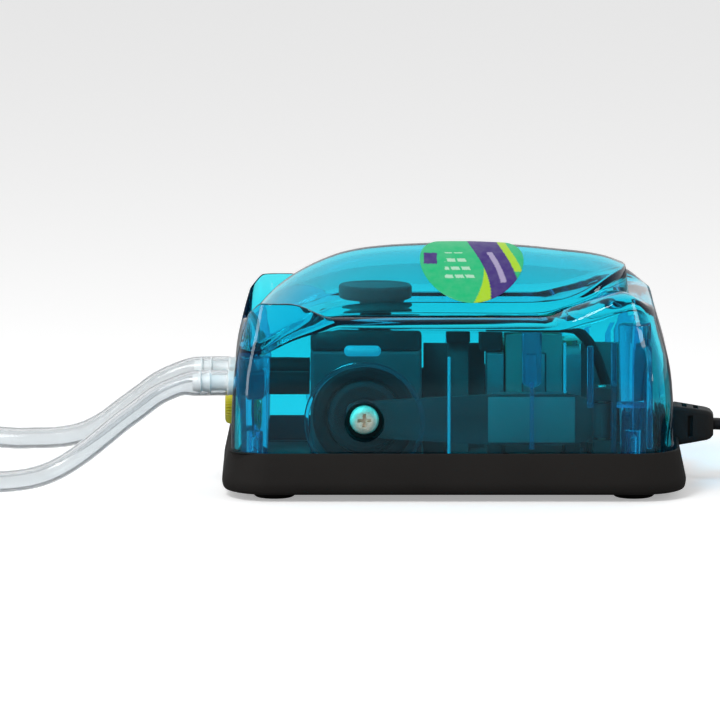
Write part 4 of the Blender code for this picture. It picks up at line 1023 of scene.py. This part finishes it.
def diaphragm(name, side):
    """A thick rim on the chamber, a rolled membrane, and a hub that the arm moves."""
    arm, at, node_name = "arm_" + name, (PUMP_X, 0, PUMP_Z), "diaphragm_" + name
    rim = mirrored(((10.2, 20.3), (14.5, 20.3), (14.5, 23.6), (13.6, 24.7), (11.2, 24.7), (10.4, 23.8)), side)
    place(turned("diaphragm_rim_" + name, rim, at, "Y", "pump_rubber", 96, 0.5, closed=True),
          stands_for=(node_name,))
    roll = mirrored(((10.9, 21.4), (10.9, 22.3), (10.0, 23.9), (8.6, 24.5), (7.2, 23.9), (5.6, 23.6),
                     (5.6, 22.9), (7.2, 23.1), (8.6, 23.7), (9.5, 23.2), (10.0, 21.6)), side)
    membrane = turned("diaphragm_membrane_" + name, roll, at, "Y", "membrane", 96, 0.3, closed=True)
    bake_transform(membrane)
    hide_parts(node_name)
    hub = mirrored(((0, 21.4), (5.4, 21.4), (6.4, 22.0), (6.4, 23.5), (0, 23.5)), side)
    place(turned("diaphragm_hub_" + name, hub, at, "Y", "pump_rubber", 64, 0.3), arm, (node_name,))
    washer = mirrored(((1.6, 23.7), (5.0, 23.7), (5.0, 26.7), (1.6, 26.7)), side)
    place(turned("fine_washer_" + name, washer, at, "Y", "membrane", 64, 0.25, closed=True),
          arm, ("hub_washer_" + name,), slot="steel_fixings")
    head = mirrored(((0, 23.8), (1.2, 23.8), (1.2, 28.85), (3.8, 28.85), (4.1, 29.3), (3.7, 30.3),
                     (2.4, 30.9), (0, 31.0)), side)
    # A black ring under the screw's head fills the wall's hole round the screw: painted shade of the hole.
    shadow_ring = mirrored(((1.6, 28.55), (5.3, 28.55), (5.3, 29.4), (1.6, 29.4)), side)
    place(turned("hub_shadow_ring_" + name, shadow_ring, at, "Y", "pump_rubber", 64, 0.25, closed=True), arm)
    screw = turned("fine_hub_screw_" + name, head, at, "Y", "nickel", 64, 0.35)
    slots = cross_slots("Y", (PUMP_X, PUMP_Z), 1.9, 0.5, *levels(side, 29.5, 31.6))
    place(cut(screw, slots, smooth_angle=35), arm, ("hub_screw_" + name,))


# ---------------------------------------------------------------- magnet arms and electromagnet

def swing_arm(name, side):
    """A flat dark steel arm with an eye on its pivot pin, and the magnet it carries."""
    x, z, body = PUMP_X, PUMP_Z, "arm_" + name
    outline = [(x - 5.0, z - 4.5), (x + 8, z - 5.5), (10, z - 7), (34, z - 7), (39, z - 5), (39, z + 5),
               (34, z + 7), (10, z + 7), (x + 8, z + 5.5), (x - 5.0, z + 4.5)]
    low, high = levels(side, 27.0, 28.5)
    arm = plate("arm_plate_" + name, round_corners(outline, 2.4), low, high, "Y", "arm_steel", 0.3)
    holes = [tool_cylinder(1.6, -3, 3, (x, side * ARM_Y, z), "Y", 32)]
    for rivet_x in (14.0, 28.5):
        holes.append(tool_cylinder(1.3, -0.4, 0.4, (rivet_x, side * 28.6, z), "Y", 32))
    place(cut(arm, holes), body, ("swing_arm_" + name,))
    eye = ((1.5, 17.0), (1.5, 27.0), (2.7, 27.0), (2.7, 17.0))
    pivot = (PIVOT_X, side * ARM_Y, 0)
    place(turned("arm_eye_" + name, eye, pivot, "Z", "arm_steel", 48, 0.25, closed=True), body)
    low, high = levels(side, 28.4, 28.9)
    place(rounded_box("arm_pad_" + name, (9.4, low, 15.6), (33.6, high, 28.4), 0.2, "arm_pad"), body)
    low, high = levels(side, 21.7, 26.7)
    place(rounded_box("fine_magnet_" + name, (10.5, low, 15.8), (32, high, 28.8), 0.5, "magnet"), body,
          ("arm_magnet_" + name,))
    pin = ((0, 12.4), (1.2, 12.4), (1.2, 31.6), (0, 31.6))
    place(turned("fine_pivot_pin_" + name, pin, pivot, "Z", "steel_fixings", 32, 0.3),
          stands_for=("pivot_pin_" + name,))


COIL_CENTRE = (22.3, 28.0)


def coil(name, side):
    """A flanged bobbin on the core's middle leg, wound and taped."""
    bobbin = [(3.3, 11.3, 0.5, 3.4), (7.9, 17.0, 1.2, 3.4), (7.9, 17.0, 1.2, 4.6), (4.2, 12.2, 1.0, 4.6),
              (4.2, 12.2, 1.0, 17.6), (7.9, 17.0, 1.2, 17.6), (7.9, 17.0, 1.2, 18.8), (3.3, 11.3, 0.5, 18.8)]
    place(lofted("fine_bobbin_" + name, "Y", sections(COIL_CENTRE, bobbin, side=side), "bobbin", True),
          stands_for=("coil_bobbin_" + name,))
    wound = [(4.6, 13.0, 0.5, 4.9), (7.4, 16.0, 2.4, 4.9), (7.9, 16.4, 2.8, 5.3), (8.1, 16.6, 3.0, 8.0),
             (8.1, 16.6, 3.0, 14.0), (7.9, 16.4, 2.8, 16.9), (7.4, 16.0, 2.4, 17.3), (4.6, 13.0, 0.5, 17.3)]
    place(lofted("fine_winding_" + name, "Y", sections(COIL_CENTRE, wound, side=side), "coil_tape", True),
          stands_for=("coil_winding_" + name,))


# ---------------------------------------------------------------- outlets and flow knob

def outlet(name, side):
    y = side * OUTLET_Y
    duct = ((2.0, 0.0), (2.0, 13.4), (3.2, 13.4), (3.2, 0.0))
    place(turned("fine_duct_" + name, duct, (-53.7, y, OUTLET_Z), "X", "pump_rubber", 40, 0.3, closed=True),
          stands_for=("outlet_duct_" + name,))
    barb = ((1.6, 14.1), (1.6, 0.0), (2.2, 0.0), (2.9, 2.4), (2.2, 2.6), (2.9, 5.0), (2.2, 5.2), (2.2, 9.6),
            (3.4, 9.9), (3.4, 14.1))
    place(turned("fine_nozzle_" + name, barb, (NOZZLE_TIP_X, y, OUTLET_Z), "X", "white_plastic", 48, 0.12,
                 closed=True), stands_for=("outlet_nozzle_" + name,))


def flow_knob():
    """The knurled yellow knob, its slot and its spindle."""
    at = (-62.5, 0, KNOB_Z)
    rim = ((0, -1.6), (3.4, -1.6), (4.2, -1.2), (4.5, -0.4), (4.5, 3.4), (3.6, 3.6), (3.6, 4.5), (0, 4.5))
    knob = turned("knurled_knob", rim, at, "X", "yellow_plastic", 192, 0.3, bands=32, band_depth=0.4)
    cut(knob, [tool_box((-64.8, -0.6, KNOB_Z - 3.3), (-63.4, 0.6, KNOB_Z + 3.3))])
    place(knob, "knob", ("flow_knob",))
    spindle = ((0, 4.0), (3.6, 4.0), (4.5, 4.7), (4.3, 5.0), (3.3, 5.1), (3.3, 6.8), (1.5, 7.0), (1.5, 9.0),
               (0, 9.0))
    place(turned("knob_spindle", spindle, at, "X", "yellow_plastic", 64, 0.2), "knob")


# ---------------------------------------------------------------- mains lead

def strain_relief():
    """A boxy tapered sleeve with slots on its top, flanged inside the wall."""
    sleeve = [(2.9, 2.9, 2.8, 51.5), (2.9, 2.9, 2.8, 58.4), (5.6, 5.6, 2.0, 58.4), (5.6, 5.6, 2.0, 58.9),
              (4.1, 4.1, 1.6, 59.0), (4.1, 4.1, 1.6, 61.6), (5.3, 5.5, 1.1, 61.8), (5.4, 5.6, 1.2, 62.4),
              (5.0, 5.0, 1.2, 66.4), (4.5, 4.2, 1.2, 71.2), (4.2, 3.8, 1.2, 72.2), (3.6, 2.9, 1.0, 73.0)]
    made = lofted("boxy_relief", "X", sections((0, LEAD_Z), sleeve), "relief_rubber", smooth_angle=30)
    slots = [tool_box((64.2, -3.2, LEAD_Z + 4.2), (65.6, 3.2, LEAD_Z + 7)),
             tool_box((67.4, -3.0, LEAD_Z + 3.8), (68.8, 3.0, LEAD_Z + 7))]
    for _, side in SIDES:
        low, high = levels(side, 4.0, 7.0)
        slots.append(tool_box((65.8, low, LEAD_Z - 3), (67.2, high, LEAD_Z + 3)))
    return place(cut(made, slots, smooth_angle=30), stands_for=("strain_relief",))


def inner_lead():
    line = smooth_route([Vector(mm(*point)) for point in INNER_LEAD_ROUTE], 1.2 * MM)
    section = circle(1.5, 20)
    place(swept("inner_lead_fine", line, lambda i: section, "lead_sheath"), stands_for=("inner_lead",))


def turns(centre_x, start, end, step, radius_at, height_at):
    """Points of a coil about (centre_x, 0), from one angle to another; the rest is told by its angle."""
    count = max(1, round(abs(end - start) / step))
    points = []
    for k in range(1, count + 1):
        turn = start + (end - start) * k / count
        radius = radius_at(turn)
        points.append((centre_x + radius * cos(radians(turn)), radius * sin(radians(turn)), height_at(turn)))
    return points


# Radius and height of each turn of the lead's coil, from its first; mm.
LEAD_TURNS = ((36.6, 2.0), (31.0, 2.0), (25.4, 2.0), (25.4, 5.4), (31.0, 5.4), (36.6, 5.4), (31.0, 8.8))
LEAD_ENTERS = -142.0
LEAD_TURNS_FROM = -90.0
LEAD_LEAVES = LEAD_TURNS_FROM + 360.0 * 6 + 150.0
LEAD_EASE = 60.0
PLUG_AT = (146.0, 31.0, 12.1)


def lead_turn(turn, which):
    """The radius (0) or height (1) of the lead's coil at an angle: each turn eases into the next."""
    if turn < LEAD_TURNS_FROM:
        share = (turn - LEAD_ENTERS) / (LEAD_TURNS_FROM - LEAD_ENTERS)
        return (43.0 + (36.6 - 43.0) * smooth_step(share), 2.0)[which]
    number = int((turn - LEAD_TURNS_FROM - 1e-6) // 360)
    into = turn - LEAD_TURNS_FROM - 360 * number
    now = LEAD_TURNS[number][which]
    if number + 1 == len(LEAD_TURNS):
        return now
    share = smooth_step((into - 360 + LEAD_EASE) / (LEAD_EASE * (1.0, 0.6)[which]))
    return now + (LEAD_TURNS[number + 1][which] - now) * share


def power_lead(relief):
    """The flat two-core lead, down to the surface, into its coil and up to the plug."""
    points = [(x, y, z - 1.0 * smooth_step((x - 92) / 12)) for x, y, z in LEAD_ROUTE]
    points += turns(LEAD_COIL_X, LEAD_ENTERS, LEAD_LEAVES, 10.0, lambda turn: lead_turn(turn, 0),
                    lambda turn: lead_turn(turn, 1))
    x, y, z = PLUG_AT
    points += [(x + 13.2, y - 2.4, 9.6), (x + 10.6, y - 0.6, 11.2), (x + 7.6, y, 12.0), (x + 4.0, y, z)]
    points = [(66.0, 0, LEAD_Z)] + points
    line = smooth_route([Vector(mm(*point)) for point in points], 1.8 * MM)
    half_width, half_thick, waist = 2.8, 1.7, 0.28
    section = []
    for i in range(28):
        turn = 2 * pi * i / 28
        lobe = half_thick + (half_width - half_thick) * abs(cos(turn)) ** 1.5
        pinch = waist * max(0.0, 1 - abs(cos(turn)) * 3.0)
        across = half_width * cos(turn) * (lobe / half_width) ** 0.2
        section.append((across, (half_thick - pinch) * sin(turn)))
    lead = swept("flat_lead", line, lambda i: section, "lead_sheath")
    place(lead, stands_for=("power_lead", "power_lead_coil"))
    plug_pieces = plug()


def plug():
    """A flat moulded plug: a waisted grip, a ribbed neck round the lead and two blades."""
    x, y, z = PLUG_AT
    grip = [(7.6, 3.7, 1.4, -6.0), (8.2, 4.3, 1.8, -5.6), (8.4, 4.5, 2.0, -4.6), (8.4, 4.5, 2.0, -2.0),
            (7.6, 4.2, 2.0, 0.4), (7.2, 4.1, 2.0, 2.4), (7.4, 4.1, 2.0, 4.0), (6.6, 3.8, 2.0, 5.6),
            (4.6, 3.1, 2.0, 6.8), (3.9, 2.7, 2.0, 7.6)]
    body = lofted("moulded_plug", "X", sections((y, z), grip, start=x), "lead_sheath", smooth_angle=30)
    ridges = [tool_box((x - 2.6 + 1.9 * k, y - 5.0, z + 4.0), (x - 1.8 + 1.9 * k, y + 5.0, z + 6))
              for k in range(4)]
    pieces = [place(cut(body, ridges, smooth_angle=30), stands_for=("plug_body",))]
    neck = []
    for k in range(5):
        at = 7.2 + k * 1.3
        neck += [(3.7 - 0.12 * k, 2.6, 1.9, at), (3.7 - 0.12 * k, 2.6, 1.9, at + 0.8),
                 (3.2, 2.2, 1.7, at + 0.9), (3.2, 2.2, 1.7, at + 1.2)]
    pieces.append(place(lofted("plug_neck", "X", sections((y, z), neck, start=x), "lead_sheath")))
    for name, side in (("inner", -1), ("outer", 1)):
        at = y + side * 6.35
        outline = round_corners([(x - 21.1, z - 2.4), (x - 20.1, z - 3.2), (x - 5.0, z - 3.2),
                                 (x - 5.0, z + 3.2), (x - 20.1, z + 3.2), (x - 21.1, z + 2.4)], 0.6, 3)
        blade = plate("fine_blade_" + name, outline, at - 0.75, at + 0.75, "Y", "blade_brass", 0.25)
        cut(blade, [tool_cylinder(1.6, -2, 2, (x - 17.2, at, z), "Y", 32)])
        pieces.append(place(blade, stands_for=("plug_blade_" + name,)))
    return pieces


# ---------------------------------------------------------------- air hoses and stones

HOSE_ENTERS = -36.9
HOSE_LEAVES = 26.0 - 720.0
HOSE_EASE_IN = 60.0
HOSE_WIDE, HOSE_TIGHT = 36.0, 30.0


def hose_radius(turn):
    """The radius of the front hose's coil at its angle, which falls as it goes round."""
    done = HOSE_ENTERS - turn
    if done < HOSE_EASE_IN:
        return HOSE_WIDE + 7.1 * (1 - done / HOSE_EASE_IN) ** 3
    return HOSE_WIDE + (HOSE_TIGHT - HOSE_WIDE) * smooth_step((done - 300) / 60)


def air_hose(name, side):
    """A soft hose that is pushed over its barb, falls to the surface and lies in two turns."""
    height, rise = (3.1, 0.0) if name == "front" else (3.1 + REAR_HOSE_RISE, REAR_HOSE_RISE)
    points = [(-62.8, -13.0, OUTLET_Z), (-68.0, -13.0, OUTLET_Z)]
    for x, y, z in HOSE_ROUTE:
        points.append((x, y, z + rise * smooth_step((-95 - x) / 25)))
    points += turns(HOSE_COIL_X, HOSE_ENTERS, HOSE_LEAVES, 10.0, hose_radius, lambda turn: height)
    last_x, last_y = points[-1][:2]
    bend_x, bend_y, bend = last_x - 13.5, last_y - 6.6, 15.0
    for k in range(1, 12):
        turn = radians(26.0 - 116.0 * k / 11)
        y = bend_y + bend * sin(turn)
        z = height + (STONE_Z - height) * smooth_step((-3.0 - y) / 5.2)
        points.append((bend_x + bend * cos(turn), y, z))
    points.append((-162.4, -STONE_Y, STONE_Z))
    line = smooth_route([Vector(mm(x, -side * y, z)) for x, y, z in points], 1.6 * MM)

    def stretch(i):
        """How far the hose is widened by the barb inside it; mm."""
        return 0.75 * smooth_step((line[i].x / MM + 77.0) / 5.0) if line[i].x > -0.1 else 0.0

    hose = swept("hose_" + name, line, lambda i: circle(3.0 + stretch(i) * 0.8, 24), "clear_hose",
                 lambda i: circle(2.0 + stretch(i) * 1.1, 24))
    place(hose, stands_for=("air_hose_" + name, "hose_coil_" + name))
    stone = air_stone(name, side)


def air_stone(name, side):
    """A rough blue cylinder of bonded grit with a plastic barb."""
    at = (HOSE_COIL_X - 3, side * STONE_Y, STONE_Z)
    body = ((0, -13.0), (6.0, -13.0), (7.0, -12.0), (7.0, 12.0), (6.0, 13.0), (0, 13.0))
    steps = rounded(body, 0.8, 4)
    fine = []
    for (r0, h0), (r1, h1) in zip(steps, steps[1:]):
        count = max(1, round(hypot(r1 - r0, h1 - h0) / 0.5))
        fine += [(r0 + (r1 - r0) * k / count, h0 + (h1 - h0) * k / count) for k in range(count)]
    stone = turned("stone_" + name, fine + [steps[-1]], at, "X", "stone", 88, 0)
    for vert in stone.data.vertices:
        out = Vector((0, vert.co.y - at[1] * MM, vert.co.z - at[2] * MM))
        grit = mathutils_noise.noise(vert.co * 1400) * 0.16 + mathutils_noise.noise(vert.co * 3300) * 0.10
        vert.co += out.normalized() * (grit - 0.2) * MM
    place(stone, stands_for=("air_stone_" + name,))
    barb = ((0, 12.6), (2.6, 12.6), (2.6, 13.6), (1.6, 13.8), (1.9, 15.4), (1.5, 15.6), (1.8, 17.4),
            (1.4, 18.0), (0, 18.0))
    tip = place(turned("stone_barb_" + name, barb, at, "X", "black_plastic", 40, 0.12), slot="stone")
    return [stone, tip]


# ---------------------------------------------------------------- the rest of the CAD nodes

CARRIED = {
    "grey_plastic": ("core_cradle",),
    "black_plastic": ("bottom_plate", "arm_bracket", "terminal_block", "thermal_fuse", "outlet_manifold",
                      "lead_clamp"),
    "core_steel": ("laminated_core",),
    "steel_fixings": ("core_screw_left", "core_screw_right", "clamp_screw_front", "clamp_screw_rear"),
}
SOFT_EDGE = {"core_cradle": 0.4, "bottom_plate": 0.3, "arm_bracket": 0.35, "terminal_block": 0.5,
             "thermal_fuse": 0.5, "outlet_manifold": 0.5, "lead_clamp": 0.3, "laminated_core": 0.12}


def boxy_parts():
    """The boxy inner pieces: each a copy of its CAD node with soft edges, or else the CAD node itself with
    its finish.
    """
    for finish, names in CARRIED.items():
        for name in names:
            if name in SOFT_EDGE:
                place(softened(name, SOFT_EDGE[name], finish), stands_for=(name,))
            else:
                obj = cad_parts[name]
                obj.data.materials.clear()
                obj.data.materials.append(look(finish))


camera()
studio()
clear_shell()
shell_mouldings()
label_disc()
boot()
case_screws()
air_chamber()
chamber_cover()
for side_name, side_sign in SIDES:
    diaphragm(side_name, side_sign)
    swing_arm(side_name, side_sign)
    coil(side_name, side_sign)
    outlet(side_name, side_sign)
    air_hose(side_name, side_sign)
flow_knob()
inner_lead()
power_lead(strain_relief())
boxy_parts()
